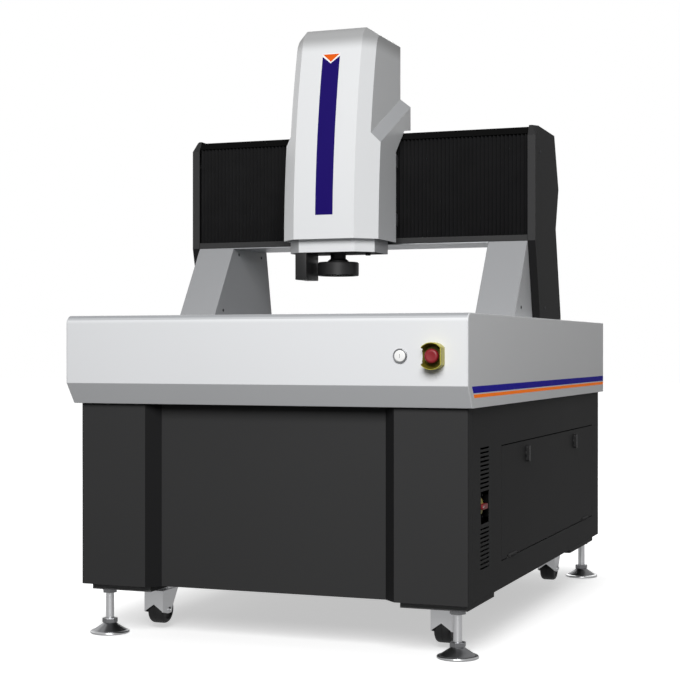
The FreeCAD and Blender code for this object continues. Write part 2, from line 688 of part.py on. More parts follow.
def switch_knob():
    y = SWITCH_AXIS[0]
    z = SWITCH_AXIS[1]
    x = CAB_HALF - SWITCH_DEPTH + SEAT
    disc = rod(20, (x, y, z), 5, (1, 0, 0))
    bar = box((x, x + 17), (y - 26, y + 22), (z - 6.5, z + 6.5))
    edges = [e for e in bar.Edges if abs(e.Vertexes[0].X - e.Vertexes[1].X) > 5]
    bar = bar.makeFillet(5.0, edges)
    stem = rod(5, (x - 40, y, z), 42, (1, 0, 0))
    return fuse([disc, bar, stem])


def controller_box():
    """The motion controller on the cabinet floor, with feet, a front rail and connector blocks."""
    z0 = CAB_BOTTOM + 4 + SEAT
    x0 = CONTROLLER_AT[0]
    y0 = CONTROLLER_AT[1]
    x1 = x0 + CONTROLLER[0]
    y1 = y0 + CONTROLLER[1]
    top = z0 + CONTROLLER_FOOT + CONTROLLER[2]
    case = box((x0, x1), (y0, y1), (z0 + CONTROLLER_FOOT, top))
    case = case.cut(box((x0 + 2, x1 - 2), (y0 + 2, y1 - 2), (z0 + CONTROLLER_FOOT + 2, top - 2)))
    step = (CONTROLLER[1] - 66) / 8
    for i in range(8):
        y = y0 + 70 + i * step
        case = case.cut(box((x0 - 5, x0 + 5), (y, y + 30), (z0 + 60, top - 52)))
    feet = []
    for x in (x0 + 20, x1 - 50):
        for y in (y0 + 20, y1 - 50):
            feet.append(box((x, x + 30), (y, y + 30), (z0, z0 + CONTROLLER_FOOT)))
    rows = []
    for i in range(4):
        y = y0 + 60 + i * (CONTROLLER[1] - 50) / 4
        rows.append(box((x1, x1 + 12), (y, y + 60), (z0 + 60, z0 + 90)))
    rows.append(box((x1, x1 + 6), (y0 + 60, y1 - 30), (top - 82, top - 42)))
    return fuse([case] + feet + rows)


# Table

def granite_base():
    return box((-GRANITE_HALF, GRANITE_HALF), GRANITE_Y, (APRON_BOTTOM, GRANITE_TOP))


def apron_outline(inset):
    """The front and top of the apron in side view, moved inwards by a given amount."""
    slope = math.hypot(APRON_BEVEL_IN, APRON_BEVEL_TOP - APRON_BOTTOM)
    rise = APRON_BEVEL_TOP - APRON_BOTTOM
    lean = inset * slope / rise
    turn = inset * (slope - APRON_BEVEL_IN) / rise
    r = APRON_TOP_R - inset
    cy = FRONT + APRON_TOP_R
    cz = TABLE_Z - APRON_TOP_R
    low = V(-HALF_W, FRONT + APRON_BEVEL_IN + lean, APRON_BOTTOM)
    knee = V(-HALF_W, FRONT + inset, APRON_BEVEL_TOP + turn)
    start = V(-HALF_W, FRONT + inset, cz)
    mid = V(-HALF_W, cy - r * math.sqrt(0.5), cz + r * math.sqrt(0.5))
    end = V(-HALF_W, cy, TABLE_Z - inset)
    return low, knee, start, mid, end


def apron_profile(inset, back_y, bottom):
    """A closed side face of the apron, between its outline and a back line."""
    low, knee, start, mid, end = apron_outline(inset)
    top = V(-HALF_W, back_y, end.z)
    heel = V(-HALF_W, back_y, bottom)
    foot_point = V(-HALF_W, low.y, bottom)
    edges = [Part.makeLine(low, knee), Part.makeLine(knee, start), Part.Arc(start, mid, end).toShape()]
    edges.append(Part.makeLine(end, top))
    edges.append(Part.makeLine(top, heel))
    if bottom < low.z - 0.01:
        edges.append(Part.makeLine(heel, foot_point))
        edges.append(Part.makeLine(foot_point, low))
    else:
        edges.append(Part.makeLine(heel, low))
    return Part.Face(Part.Wire(edges))


def apron_front():
    """The moulded front cover with its rounded top edge, turned-under foot and two control bores."""
    outer = apron_profile(0, FRONT + 58, APRON_BOTTOM)
    inner = apron_profile(APRON_T, FRONT + 90, APRON_BOTTOM - 5)
    shell = outer.extrude(V(TABLE_W, 0, 0)).cut(inner.extrude(V(TABLE_W, 0, 0)))
    inside = HALF_W - APRON_T
    span = (-inside + 0.1, inside - 0.1)
    shell = shell.common(box(span, (FRONT - 5, FRONT + 300), (APRON_BOTTOM - 20, TABLE_Z + 50)))
    low_y = FRONT + APRON_BEVEL_IN
    lip = box(span, (low_y, low_y + 20), (APRON_BOTTOM, APRON_BOTTOM + APRON_T))
    boss_a = rod(BEZEL_R, (BUTTON[0], FRONT + APRON_T, BUTTON[1]), 3, (0, 1, 0))
    boss_b = rod(BEZEL_R, (ESTOP[0], FRONT + APRON_T, ESTOP[1]), 3, (0, 1, 0))
    shell = fuse([shell, lip, boss_a, boss_b])
    bores = [
        rod(15 + SEAT, (BUTTON[0], FRONT - 5, BUTTON[1]), 30, (0, 1, 0)),
        rod(11 + SEAT, (ESTOP[0], FRONT - 5, ESTOP[1]), 30, (0, 1, 0)),
    ]
    return cut(shell, bores)


def apron_side():
    """The right side cover: a tall sheet cut to the front outline, with flanges top and bottom."""
    face = apron_profile(0, BACK - APRON_T - SEAT, APRON_BOTTOM)
    slab = face.extrude(V(APRON_T, 0, 0))
    slab.translate(V(TABLE_W - APRON_T, 0, 0))
    edges = [e for e in slab.Edges if min(v.X for v in e.Vertexes) > HALF_W - 0.1]
    edges = [e for e in edges if max(v.Y for v in e.Vertexes) < BACK - 10 or e.Length > 400]
    edges = [e for e in edges if min(v.Z for v in e.Vertexes) > APRON_BOTTOM + 1 or e.Length < 300]
    slab = slab.makeFillet(APRON_EDGE_R, edges)
    x = (HALF_W - APRON_T - APRON_FLANGE, HALF_W - APRON_T)
    y = (FRONT + 60, BACK - 8)
    top = box(x, y, (TABLE_Z - 2 * DECK_T - SEAT, TABLE_Z - DECK_T - SEAT))
    low = box(x, y, (APRON_BOTTOM, APRON_BOTTOM + APRON_T))
    return fuse([slab, top, low])


def apron_rear():
    """The back cover of the table with its flanges."""
    inside = HALF_W
    sheet = box((-inside, inside), (BACK - APRON_T, BACK), (APRON_BOTTOM, TABLE_Z))
    x = (-HALF_W + 40, HALF_W - 40)
    top = box(x, (BACK - 25, BACK - APRON_T), (TABLE_Z - 2 * DECK_T - SEAT, TABLE_Z - DECK_T - SEAT))
    low = box(x, (BACK - 25, BACK - APRON_T), (APRON_BOTTOM, APRON_BOTTOM + APRON_T))
    slots = []
    for i in range(6):
        z = TABLE_Z - 92 - i * VENT_PITCH
        slots.append(box((-150, 150), (BACK - 6, BACK + 3), (z - VENT_H, z)))
    return cut(fuse([sheet, top, low]), slots)


def deck_plate():
    """The flat top sheet, open for the stage and for the two legs."""
    x = HALF_W - APRON_T - SEAT
    y = (FRONT + 58 + SEAT, BACK - APRON_T - SEAT)
    sheet = box((-x, x), y, (TABLE_Z - DECK_T, TABLE_Z))
    reach = STAGE_HALF_Y + STAGE_TRAVEL + STAGE_GAP
    hole_y = (LENS_Y - reach, LENS_Y + reach)
    hole_x = STAGE_HALF_X + STAGE_GAP
    deep = (TABLE_Z - 50, TABLE_Z + 50)
    cuts = [box((-hole_x, hole_x), hole_y, deep)]
    leg_y = (FRONT + LEG_SIDE[0][0] - 2, FRONT + LEG_SIDE[-1][0] + 2)
    cuts.append(box((LEG_IN - 2, LEG_OUT + 2), leg_y, deep))
    cuts.append(box((-LEG_OUT - 2, -LEG_IN + 2), leg_y, deep))
    wells = []
    for side in both_signs():
        inner = side * hole_x
        outer = side * (hole_x + DECK_T)
        wells.append(box((min(inner, outer), max(inner, outer)), hole_y, (TABLE_Z - 20, TABLE_Z)))
    for y_edge in (hole_y[0] - DECK_T, hole_y[1]):
        span = (-hole_x - DECK_T, hole_x + DECK_T)
        wells.append(box(span, (y_edge, y_edge + DECK_T), (TABLE_Z - 20, TABLE_Z)))
    spots = [(x, y) for x in (-HALF_W + 120, 0, HALF_W - 120) for y in (BACK - 330, BACK - 120)]
    spots += [(x, y) for x in (-HALF_W + 70, HALF_W - 70) for y in (FRONT + 80, FRONT + 400)]
    half = DECK_POST / 2
    posts = []
    for px, py in spots:
        span_z = (GRANITE_TOP + SEAT, TABLE_Z - DECK_T)
        posts.append(box((px - half, px + half), (py - half, py + half), span_z))
    return fuse([cut(sheet, cuts)] + wells + posts)


def screw_bearings():
    """Where the stage screw's two bearing blocks begin, clear of the nut at both ends of the travel."""
    front = LENS_Y - STAGE_HALF_Y - STAGE_TRAVEL + NUT_BACK
    rear = LENS_Y + STAGE_HALF_Y + STAGE_TRAVEL - NUT_BACK + BEARING_GAP
    return (front, rear)


def y_rails():
    """Two stage rails with the bearing blocks of the screw."""
    length = (LENS_Y - STAGE_HALF_Y - STAGE_TRAVEL, LENS_Y + STAGE_HALF_Y + STAGE_TRAVEL)
    z0 = GRANITE_TOP + SEAT
    pieces = []
    for side in both_signs():
        x = side * Y_RAIL_X
        half = Y_RAIL[0] / 2
        outline = [
            (x - half, z0),
            (x + half, z0),
            (x + half, z0 + 7),
            (x + half - 3, z0 + 11),
            (x + half, z0 + 15),
            (x + half, z0 + Y_RAIL[1] - SEAT),
            (x - half, z0 + Y_RAIL[1] - SEAT),
            (x - half, z0 + 15),
            (x - half + 3, z0 + 11),
            (x - half, z0 + 7),
        ]
        pieces.append(prism_y(outline, length[0] + 5, length[1] - 5))
    for y in screw_bearings():
        block = box((Y_SCREW_X - 26, Y_SCREW_X + 26), (y, y + BEARING_LEN), (z0, Y_SCREW_Z + 11))
        bore = rod(SCREW_R + RUN, (Y_SCREW_X, y - 5, Y_SCREW_Z), BEARING_LEN + 10, (0, 1, 0))
        pieces.append(block.cut(bore))
    return Part.makeCompound(pieces)


def y_screw():
    """The stage's drive screw between its bearing blocks, with a belt pulley behind."""
    front, rear = screw_bearings()
    start = front - BEARING_GAP
    end = rear + BEARING_LEN + BEARING_GAP
    shaft = rod(SCREW_R, (Y_SCREW_X, start, Y_SCREW_Z), end - start, (0, 1, 0))
    pulley = rod(PULLEY_R, (Y_SCREW_X, end - 2, Y_SCREW_Z), PULLEY_LEN, (0, 1, 0))
    return fuse([shaft, pulley])


def stage_plate():
    """The moving stage: a flat frame for the glass, with carriages over the rails and a screw nut."""
    z0 = STAGE_TOP - STAGE_T
    y = (LENS_Y - STAGE_HALF_Y, LENS_Y + STAGE_HALF_Y)
    frame = box((-STAGE_HALF_X, STAGE_HALF_X), y, (z0, STAGE_TOP))
    gx = GLASS_HALF_X + SEAT
    gy = GLASS_HALF_Y + SEAT
    pocket = box((-gx, gx), (LENS_Y - gy, LENS_Y + gy), (STAGE_TOP - GLASS_T - SEAT, STAGE_TOP + 5))
    hx = GLASS_HALF_X - GLASS_LEDGE
    hy = GLASS_HALF_Y - GLASS_LEDGE
    window = box((-hx, hx), (LENS_Y - hy, LENS_Y + hy), (z0 - 5, STAGE_TOP))
    pieces = [cut(frame, [pocket, window])]
    rails = []
    half = CARRIAGE_W / 2
    for side in both_signs():
        x = side * Y_RAIL_X
        groove = (x - Y_RAIL[0] / 2 - SEAT, x + Y_RAIL[0] / 2 + SEAT)
        rails.append(box(groove, (y[0] - 300, y[1] + 300), (GRANITE_TOP, GRANITE_TOP + Y_RAIL[1] + SEAT)))
        for cy in (y[0] + 4, y[1] - 4 - CARRIAGE_L):
            span = (x - half, x + half)
            pieces.append(box(span, (cy, cy + CARRIAGE_L), (GRANITE_TOP + CARRIAGE_DROP - 7, z0)))
    nut_y = (y[1] - NUT_BACK - NUT_LEN, y[1] - NUT_BACK)
    nut = box((Y_SCREW_X - 22, Y_SCREW_X + 22), nut_y, (Y_SCREW_Z - 14, z0))
    pieces.append(nut)
    whole = cut(fuse(pieces), rails)
    return whole.cut(rod(SCREW_R + RUN, (Y_SCREW_X, y[0], Y_SCREW_Z), 2 * STAGE_HALF_Y, (0, 1, 0)))


def stage_glass():
    y = (LENS_Y - GLASS_HALF_Y, LENS_Y + GLASS_HALF_Y)
    return box((-GLASS_HALF_X, GLASS_HALF_X), y, (STAGE_TOP - GLASS_T, STAGE_TOP))


# Bridge

def leg():
    """The right leg of the bridge, standing on the granite and leaning back at the front."""
    points = shifted(LEG_SIDE)
    bottom = GRANITE_TOP + SEAT
    outline = [(points[0][0], bottom)] + points + [(points[-1][0], bottom)]
    solid = prism_x(outline, LEG_IN, LEG_OUT)
    edges = [e for e in solid.Edges if abs(e.Vertexes[0].X - e.Vertexes[1].X) < 1]
    front = [e for e in edges if e.CenterOfMass.y < BEAM_FACE_Y and e.CenterOfMass.z > TABLE_Z + 25]
    return solid.makeChamfer(LEG_EDGE, front)


def corner_tool(inset):
    """The block that takes off the right cover's top front corner, moved inwards by a given amount."""
    tip = V(COVER_OUT, FRONT + COVER_SIDE[1][0], COVER_SIDE[1][1])
    top = V(COVER_OUT - COVER_FACET, FRONT + COVER_SIDE[2][0], COVER_SIDE[2][1])
    rear = V(COVER_OUT, top.y + 20, top.z)
    outward = (rear - tip).cross(top - tip)
    outward.normalize()
    block = Part.makeBox(120, 120, 60, V(-60, -60, 0))
    block.Placement = FreeCAD.Placement(tip - outward * inset, FreeCAD.Rotation(V(0, 0, 1), outward))
    return block


def leg_cover():
    """The right end cover: a dark pan over the end of the beam and the outside of the leg."""
    points = shifted(COVER_SIDE)
    corners = [V(LEG_OUT + SEAT, y, z) for y, z in points]
    face = Part.Face(Part.makePolygon(corners + [corners[0]]))
    outer = face.extrude(V(COVER_OUT - LEG_OUT - SEAT, 0, 0))
    inner = face.makeOffset2D(-COVER_T).extrude(V(COVER_OUT - LEG_OUT - SEAT - COVER_T, 0, 0))
    shell = outer.cut(corner_tool(0)).cut(inner.cut(corner_tool(COVER_T)))
    ribs = []
    for y, z in COVER_SCREWS:
        ribs.append(rod(7, (LEG_OUT + SEAT, FRONT + y, z), COVER_OUT - LEG_OUT - 1, (1, 0, 0)))
    return fuse([shell] + ribs)


def cross_beam():
    return box((-BEAM_HALF, BEAM_HALF), BEAM_Y, (LEG_TOP + SEAT, BEAM_TOP - SEAT))


def beam_guides():
    """The dark channels above and below the bellows, with the flat cover over the beam."""
    y0 = BEAM_FACE_Y
    y1 = BEAM_Y[0] - SEAT
    top = [
        (y0, BELLOWS_Z[1] + 0.6),
        (y0, BELLOWS_Z[1] + 2.6),
        (y0 + 17, GUIDE_TOP_Z),
        (FRONT + 966, GUIDE_TOP_Z),
        (FRONT + 966, BEAM_TOP + SEAT),
        (y1, BEAM_TOP + SEAT),
        (y1, BELLOWS_Z[1] + 0.6),
    ]
    upper = prism_x(top, -BEAM_HALF, BEAM_HALF)
    lower = box((-BEAM_HALF, BEAM_HALF), (y0, y1), (LEG_TOP + 0.7, BELLOWS_Z[0] - 0.6))
    return Part.makeCompound([upper, lower])


def beam_sill():
    x = LEG_IN - SEAT
    return box((-x, x), (BEAM_FACE_Y, BEAM_Y[1]), SILL_Z)


def beam_rear_cover():
    """The folded sheet behind the beam."""
    points = shifted(REAR_COVER_SIDE)
    corners = [V(-BEAM_HALF, y, z) for y, z in points]
    face = Part.Face(Part.makePolygon(corners + [corners[0]]))
    outer = face.extrude(V(2 * BEAM_HALF, 0, 0))
    inner = face.makeOffset2D(-SHEET).extrude(V(2 * BEAM_HALF, 0, 0))
    wide = 2 * BEAM_HALF
    open_y = (FRONT + 930, FRONT + 941 + SHEET + 0.1)
    open_front = box((-wide, wide), open_y, (LEG_TOP + 23.3, BEAM_TOP - 16))
    return cut(outer, [inner, open_front])


def x_rails():
    rails = []
    y = (BEAM_Y[0] - SEAT - X_RAIL[0], BEAM_Y[0] - SEAT)
    half = X_RAIL[1] / 2
    for z in X_RAIL_Z:
        outline = [
            (y[0], z - half),
            (y[0], z + half),
            (y[0] + 5, z + half),
            (y[0] + 8, z + half - 3),
            (y[0] + 11, z + half),
            (y[1], z + half),
            (y[1], z - half),
            (y[0] + 11, z - half),
            (y[0] + 8, z - half + 3),
            (y[0] + 5, z - half),
        ]
        rails.append(prism_x(outline, -X_RAIL_HALF, X_RAIL_HALF))
    return Part.makeCompound(rails)


def bellows(x0, x1):
    """A pleated way cover between two upright edges: a thin zig-zag sheet."""
    step = (x1 - x0) / BELLOWS_FOLDS
    near = BELLOWS_FRONT
    far = BELLOWS_FRONT + BELLOWS_DEPTH - BELLOWS_T
    front = []
    back = []
    for i in range(BELLOWS_FOLDS + 1):
        x = x0 + i * step
        y = near if i % 2 else far
        front.append((x, y))
        back.append((x, y + BELLOWS_T))
    outline = front + back[::-1]
    return prism_z(outline, BELLOWS_Z[0], BELLOWS_Z[1])


# Head

def x_saddle():
    """The slide that rides on the beam's rails, with the upright column that guides the Z slide."""
    plate = box((-SADDLE_HALF, SADDLE_HALF), SADDLE_Y, SADDLE_Z)
    neck_y = (SADDLE_Y[1], BEAM_Y[0] - SEAT - X_RAIL[0] + 12)
    neck = box((-NECK_HALF + 4, NECK_HALF - 4), neck_y, (SADDLE_Z[0], SADDLE_Z[1]))
    column_y = (SADDLE_Y[0], SADDLE_Y[0] + 30)
    column = box((-COLUMN_HALF, COLUMN_HALF), column_y, (SADDLE_Z[1] - 10, COLUMN_TOP))
    pieces = [plate, neck, column]
    z_rail_y = (SADDLE_Y[0] - Z_RAIL[1], SADDLE_Y[0])
    z_rail_z = (SADDLE_Z[0] + 2, COLUMN_TOP - 10)
    for side in both_signs():
        x = side * Z_RAIL_X
        pieces.append(box((x - Z_RAIL[0] / 2, x + Z_RAIL[0] / 2), z_rail_y, z_rail_z))
        wall = HEAD_HALF - HEAD_SHELL - SEAT
        for z in (SADDLE_Z[0] + 26, SADDLE_Z[1] - 76):
            arm = (side * (SADDLE_HALF - 6), side * wall)
            pieces.append(box((min(arm), max(arm)), (SADDLE_Y[0], SADDLE_Y[0] + 8), (z, z + 36)))
            tab = (side * (wall - 4), side * wall)
            pieces.append(box((min(tab), max(tab)), (HEAD_REAR_LOW - 36, SADDLE_Y[0] + 8), (z, z + 36)))
        wall = HEAD_UPPER - HEAD_SHELL - SEAT
        arm = (side * (COLUMN_HALF - 6), side * wall)
        high = (COLUMN_TOP - 70, COLUMN_TOP - 30)
        pieces.append(box((min(arm), max(arm)), (SADDLE_Y[0] + 22, SADDLE_Y[0] + 30), high))
        tab = (side * (wall - 4), side * wall)
        pieces.append(box((min(tab), max(tab)), (SADDLE_Y[0] - 10, SADDLE_Y[0] + 30), high))
    grooves = []
    for z in X_RAIL_Z:
        half = X_RAIL[1] / 2 + SEAT
        y0 = BEAM_Y[0] - 2 * SEAT - X_RAIL[0]
        grooves.append(box((-SADDLE_HALF, SADDLE_HALF), (y0, y0 + 40), (z - half, z + half)))
    return cut(fuse(pieces), grooves)


def head_side_outline(inset):
    """The head's side view: an upright front that curves back, a rounded brow, a flat roof and the rear."""
    bottom = HEAD_BOTTOM - (5 if inset else 0)
    roof = HEAD_ROOF - inset
    front = HEAD_FRONT + inset
    r = HEAD_ARC_R - inset
    brow_z = roof - HEAD_BROW[1]
    brow_y = front + r - math.sqrt(r * r - (brow_z - HEAD_BOTTOM) ** 2)
    mid_z = HEAD_BOTTOM + (brow_z - HEAD_BOTTOM) / 2
    mid_y = front + r - math.sqrt(r * r - (mid_z - HEAD_BOTTOM) ** 2)
    a = V(0, front, bottom)
    b = V(0, front, HEAD_BOTTOM)
    m = V(0, mid_y, mid_z)
    c = V(0, brow_y, brow_z)
    n = V(0, brow_y + HEAD_BROW[0] * 0.36, roof - HEAD_BROW[1] * 0.4)
    d = V(0, brow_y + HEAD_BROW[0], roof)
    e = V(0, HEAD_BACK + 200, roof)
    f = V(0, HEAD_BACK + 200, bottom)
    edges = [Part.Arc(b, m, c).toShape(), Part.Arc(c, n, d).toShape()]
    edges.append(Part.makeLine(d, e))
    edges.append(Part.makeLine(e, f))
    edges.append(Part.makeLine(f, a))
    if inset:
        edges.append(Part.makeLine(a, b))
    return Part.Face(Part.Wire(edges))


def head_block(inset):
    """The head's outer form, moved inwards by a given amount, as one closed block."""
    flat = HEAD_FLAT - inset * 0.4
    half = HEAD_HALF - inset
    upper = HEAD_UPPER - inset
    side = head_side_outline(inset)
    middle = side.extrude(V(2 * flat, 0, 0))
    middle.translate(V(-flat, 0, 0))
    run = half - flat
    wing = side.extrude(V(run, run * HEAD_BEVEL, -run * HEAD_WING_DROP))
    wing.translate(V(flat, 0, 0))
    body = fuse([middle, wing, flip(wing)])
    back = inset
    low = HEAD_BOTTOM - (5 if inset else 0)
    rear_low = HEAD_REAR_LOW + (50 if inset else 0)
    over_beam = BEAM_TOP + HEAD_OVER + inset
    top = HEAD_ROOF + 24
    mask = [
        (FRONT + 300, low),
        (rear_low, low),
        (rear_low, BEAM_TOP - 55 + (30 if inset else 0)),
        (HEAD_BACK - 58, over_beam - 8),
        (HEAD_BACK - 4, over_beam),
        (HEAD_BACK - back, over_beam),
        (HEAD_BACK - back, over_beam + 69 - inset),
        (HEAD_BACK_UP - back, over_beam + 89 - inset),
        (HEAD_BACK_UP - back, top),
        (FRONT + 300, top),
    ]
    body = body.common(prism_x(mask, -2 * HEAD_HALF, 2 * HEAD_HALF))
    eaves = HEAD_ROOF_SIDE - 52
    roof = [
        (-half, low - 10),
        (-half, eaves),
        (-upper - 0.01, eaves),
        (-upper, HEAD_ROOF_SIDE - inset),
        (-flat, HEAD_ROOF - inset),
        (flat, HEAD_ROOF - inset),
        (upper, HEAD_ROOF_SIDE - inset),
        (upper + 0.01, eaves),
        (half, eaves),
        (half, low - 10),
    ]
    body = body.common(prism_y(roof, FRONT + 200, FRONT + 1000))
    y0 = FRONT + 400.0
    z_at = SHOULDER_Z - inset + SHOULDER_RISE * (y0 - SHOULDER_Y)
    high = HEAD_ROOF + 224
    corner = [V(upper, y0, z_at + SHOULDER_UP), V(half, y0, z_at), V(half + 80, y0, z_at - 130)]
    corner += [V(half + 80, y0, high), V(upper, y0, high)]
    face = Part.Face(Part.makePolygon(corner + [corner[0]]))
    wedge = face.extrude(V(0, 500, 500 * SHOULDER_RISE))
    return cut(body, [wedge, flip(wedge)])


def head_cover():
    return head_block(0).cut(head_block(HEAD_SHELL))


def z_carriage():
    """The Z slide: a plate with bearing blocks on the Z rails and a shelf that holds the lens."""
    plate = box((-Z_PLATE_HALF, Z_PLATE_HALF), Z_PLATE_Y, (SHELF_Z[0], Z_PLATE_Z[1]))
    shelf = box((-70, 70), (SHELF_Y, Z_PLATE_Y[0] + 5), SHELF_Z)
    pieces = [plate, shelf]
    for side in both_signs():
        web = (side * 62, side * 70)
        outline = [
            (Z_PLATE_Y[0] + 2, SHELF_Z[1] - 2),
            (Z_PLATE_Y[0] + 2, SHELF_Z[1] + 98),
            (SHELF_Y + 90, SHELF_Z[1] - 2),
        ]
        pieces.append(prism_x(outline, min(web), max(web)))
        x = side * Z_RAIL_X
        for z in (Z_PLATE_Z[1] - 190, Z_PLATE_Z[1] - 70):
            block_y = (Z_PLATE_Y[1] - 1, SADDLE_Y[0] - 3)
            pieces.append(box((x - 22, x + 22), block_y, (z, z + 60)))
    mount_z = (BARREL_TOP - 76, BARREL_TOP - 46)
    mount = box((-20, 20), (LENS_Y + BARREL_R + SEAT, Z_PLATE_Y[0] + 2), mount_z)
    pieces.append(mount)
    grooves = []
    for side in both_signs():
        x = side * Z_RAIL_X
        half = Z_RAIL[0] / 2 + SEAT
        groove_y = (SADDLE_Y[0] - Z_RAIL[1] - SEAT, SADDLE_Y[0] + 5)
        grooves.append(box((x - half, x + half), groove_y, (SHELF_Z[0] - 30, Z_PLATE_Z[1] + 100)))
    bore = rod(NECK_R + SEAT, (0, LENS_Y, SHELF_Z[0] - 5), 40, (0, 0, 1))
    return cut(fuse(pieces), grooves + [bore])


def skirt_plan(inset):
    """The plan outline of the lower head cover."""
    flat = SKIRT_FLAT - inset * 0.4
    half = SKIRT_HALF - inset
    front = SKIRT_FRONT + inset
    knee = SKIRT_SIDE_Y + inset * 0.4
    back = SKIRT_BACK + (5 if inset else 0)
    return [(-half, back), (-half, knee), (-flat, front), (flat, front), (half, knee), (half, back)]


def z_skirt():
    """The inner cover that slides out of the head with the lens, closed below."""
    outer = prism_z(skirt_plan(0), SKIRT_Z[0], SKIRT_Z[1])
    inner = prism_z(skirt_plan(SKIRT_T), SHELF_Z[0] - SEAT, SKIRT_Z[1] + 5)
    shell = outer.cut(inner)
    port = rod(NECK_R + 6, (0, LENS_Y, SKIRT_Z[0] - 5), 20, (0, 0, 1))
    return shell.cut(port)


def zoom_lens():
    """The zoom lens: a slim neck, a wider barrel above the shelf and the camera on top."""
    outline = [
        (0, RING_Z[1] + SEAT),
        (NECK_R + 8, RING_Z[1] + SEAT),
        (NECK_R + 8, RING_Z[1] + 4),
        (NECK_R, RING_Z[1] + 10),
        (NECK_R, SHELF_Z[1] + SEAT),
        (BARREL_R, SHELF_Z[1] + SEAT),
        (BARREL_R, BARREL_TOP - 106),
        (BARREL_R - 3, BARREL_TOP - 103),
        (BARREL_R - 3, BARREL_TOP - 84),
        (BARREL_R, BARREL_TOP - 81),
        (BARREL_R, BARREL_TOP - 16),
        (20, BARREL_TOP - 8),
        (20, BARREL_TOP),
        (0, BARREL_TOP),
    ]
    half = CAMERA[0] / 2
    top = (BARREL_TOP - 1, BARREL_TOP - 1 + CAMERA[2])
    camera = box((-half, half), (LENS_Y - half, LENS_Y + half), top)
    return fuse([turned(outline, 0, LENS_Y), camera])


def ring_light():
    """The programmable ring light below the lens, with its lamps set in a slanting ring."""
    z0 = RING_Z[0]
    z1 = RING_Z[1]
    outline = [
        (RING_HOLE_R, z1),
        (RING_HOLE_R, z0 + 14),
        (RING_R - 10, z0 + 3),
        (RING_R - 8, z0),
        (RING_R - 2, z0),
        (RING_R, z0 + 2),
        (RING_R, z1 - 3),
        (RING_R - 3, z1),
    ]
    ring = turned(outline, 0, LENS_Y)
    lip = (RING_HOLE_R - 8, RING_HOLE_R + 1)
    flange = turned([(lip[0], z1 - 4), (lip[1], z1 - 4), (lip[1], z1), (lip[0], z1)], 0, LENS_Y)
    return fuse([ring, flange])


def laser_sensor():
    """The laser height sensor: a slim block with a window cut in its lower face."""
    body = box(LASER_X, LASER_Y, LASER_Z)
    windows = []
    for near, far in ((12, 30), (38, 56)):
        y = (LASER_Y[0] + near, LASER_Y[0] + far)
        windows.append(box((LASER_X[0] + 6, LASER_X[1] - 6), y, (LASER_Z[0] - 1, LASER_Z[0] + 2)))
    return cut(body, windows)


# Controls

def power_button_bezel():
    """The chrome ring and barrel of the start button."""
    x = BUTTON[0]
    z = BUTTON[1]
    ring = rod(BEZEL_R, (x, FRONT - SEAT - BEZEL_OUT, z), BEZEL_OUT, (0, 1, 0))
    barrel = rod(15, (x, FRONT - SEAT - 1, z), BARREL_IN, (0, 1, 0))
    bore = rod(CAP_R + RUN, (x, FRONT - 20, z), 20 + BARREL_IN - 8, (0, 1, 0))
    return fuse([ring, barrel]).cut(bore)


def power_button_cap():
    """The white push cap; it stops on the floor of its barrel."""
    x = BUTTON[0]
    z = BUTTON[1]
    front = FRONT - CAP_OUT
    cap = rod(CAP_R, (x, front, z), CAP_OUT + BARREL_IN - 8 - CAP_TRAVEL - SEAT, (0, 1, 0))
    edges = [e for e in cap.Edges if abs(e.CenterOfMass.y - front) < 0.1 and e.Length > 10]
    return cap.makeChamfer(CAP_EDGE, edges)


def estop_guard():
    """The yellow collar around the stop button, hollowed at both sides, with its panel sleeve."""
    x = ESTOP[0]
    z = ESTOP[1]
    y0 = FRONT - SEAT - GUARD_DEPTH
    collar = rod(GUARD_R, (x, y0, z), GUARD_DEPTH, (0, 1, 0))
    room = rod(GUARD_R - GUARD_WALL, (x, y0 - 1, z), GUARD_DEPTH - 3, (0, 1, 0))
    collar = collar.cut(room)
    cuts = []
    for side in both_signs():
        cuts.append(rod(GUARD_CUT, (x + side * GUARD_CUT_AT, y0 - 1, z), GUARD_DEPTH + 2, (0, 1, 0)))
    collar = cut(collar, cuts)
    sleeve = rod(11, (x, FRONT - SEAT - 8, z), 40, (0, 1, 0))
    whole = fuse([collar, sleeve])
    return whole.cut(rod(ESTOP_STEM_R + RUN, (x, FRONT - 60, z), 60 + 26, (0, 1, 0)))


def estop_stem():
    x = ESTOP[0]
    z = ESTOP[1]
    start = FRONT - SEAT - GUARD_DEPTH + 7
    shaft = rod(ESTOP_STEM_R, (x, FRONT - 14, z), 34, (0, 1, 0))
    nose = rod(ESTOP_NOSE_R, (x, start, z), FRONT - 13 - start, (0, 1, 0))
    return fuse([shaft, nose])


def estop_head():
    """The red mushroom button, which turns on the stem's nose."""
    x = ESTOP[0]
    z = ESTOP[1]
    y0 = FRONT - SEAT - GUARD_DEPTH + 2
    bore = ESTOP_NOSE_R + RUN
    outline = [(0, 0), (ESTOP_HEAD_R - 6, 0), (ESTOP_HEAD_R - 2.4, 1.2), (ESTOP_HEAD_R - 0.6, 3.2)]
    outline += [(ESTOP_HEAD_R, 6), (ESTOP_HEAD_R, 9.5), (ESTOP_HEAD_R - 1.5, 11)]
    outline += [(12, 11), (12, 16.5), (bore, 16.5), (bore, 4.6), (0, 4.6)]
    corners = [V(x + r, y0 + a, z) for r, a in outline]
    face = Part.Face(Part.makePolygon(corners + [corners[0]]))
    return face.revolve(V(x, y0, z), V(0, 1, 0), 360)


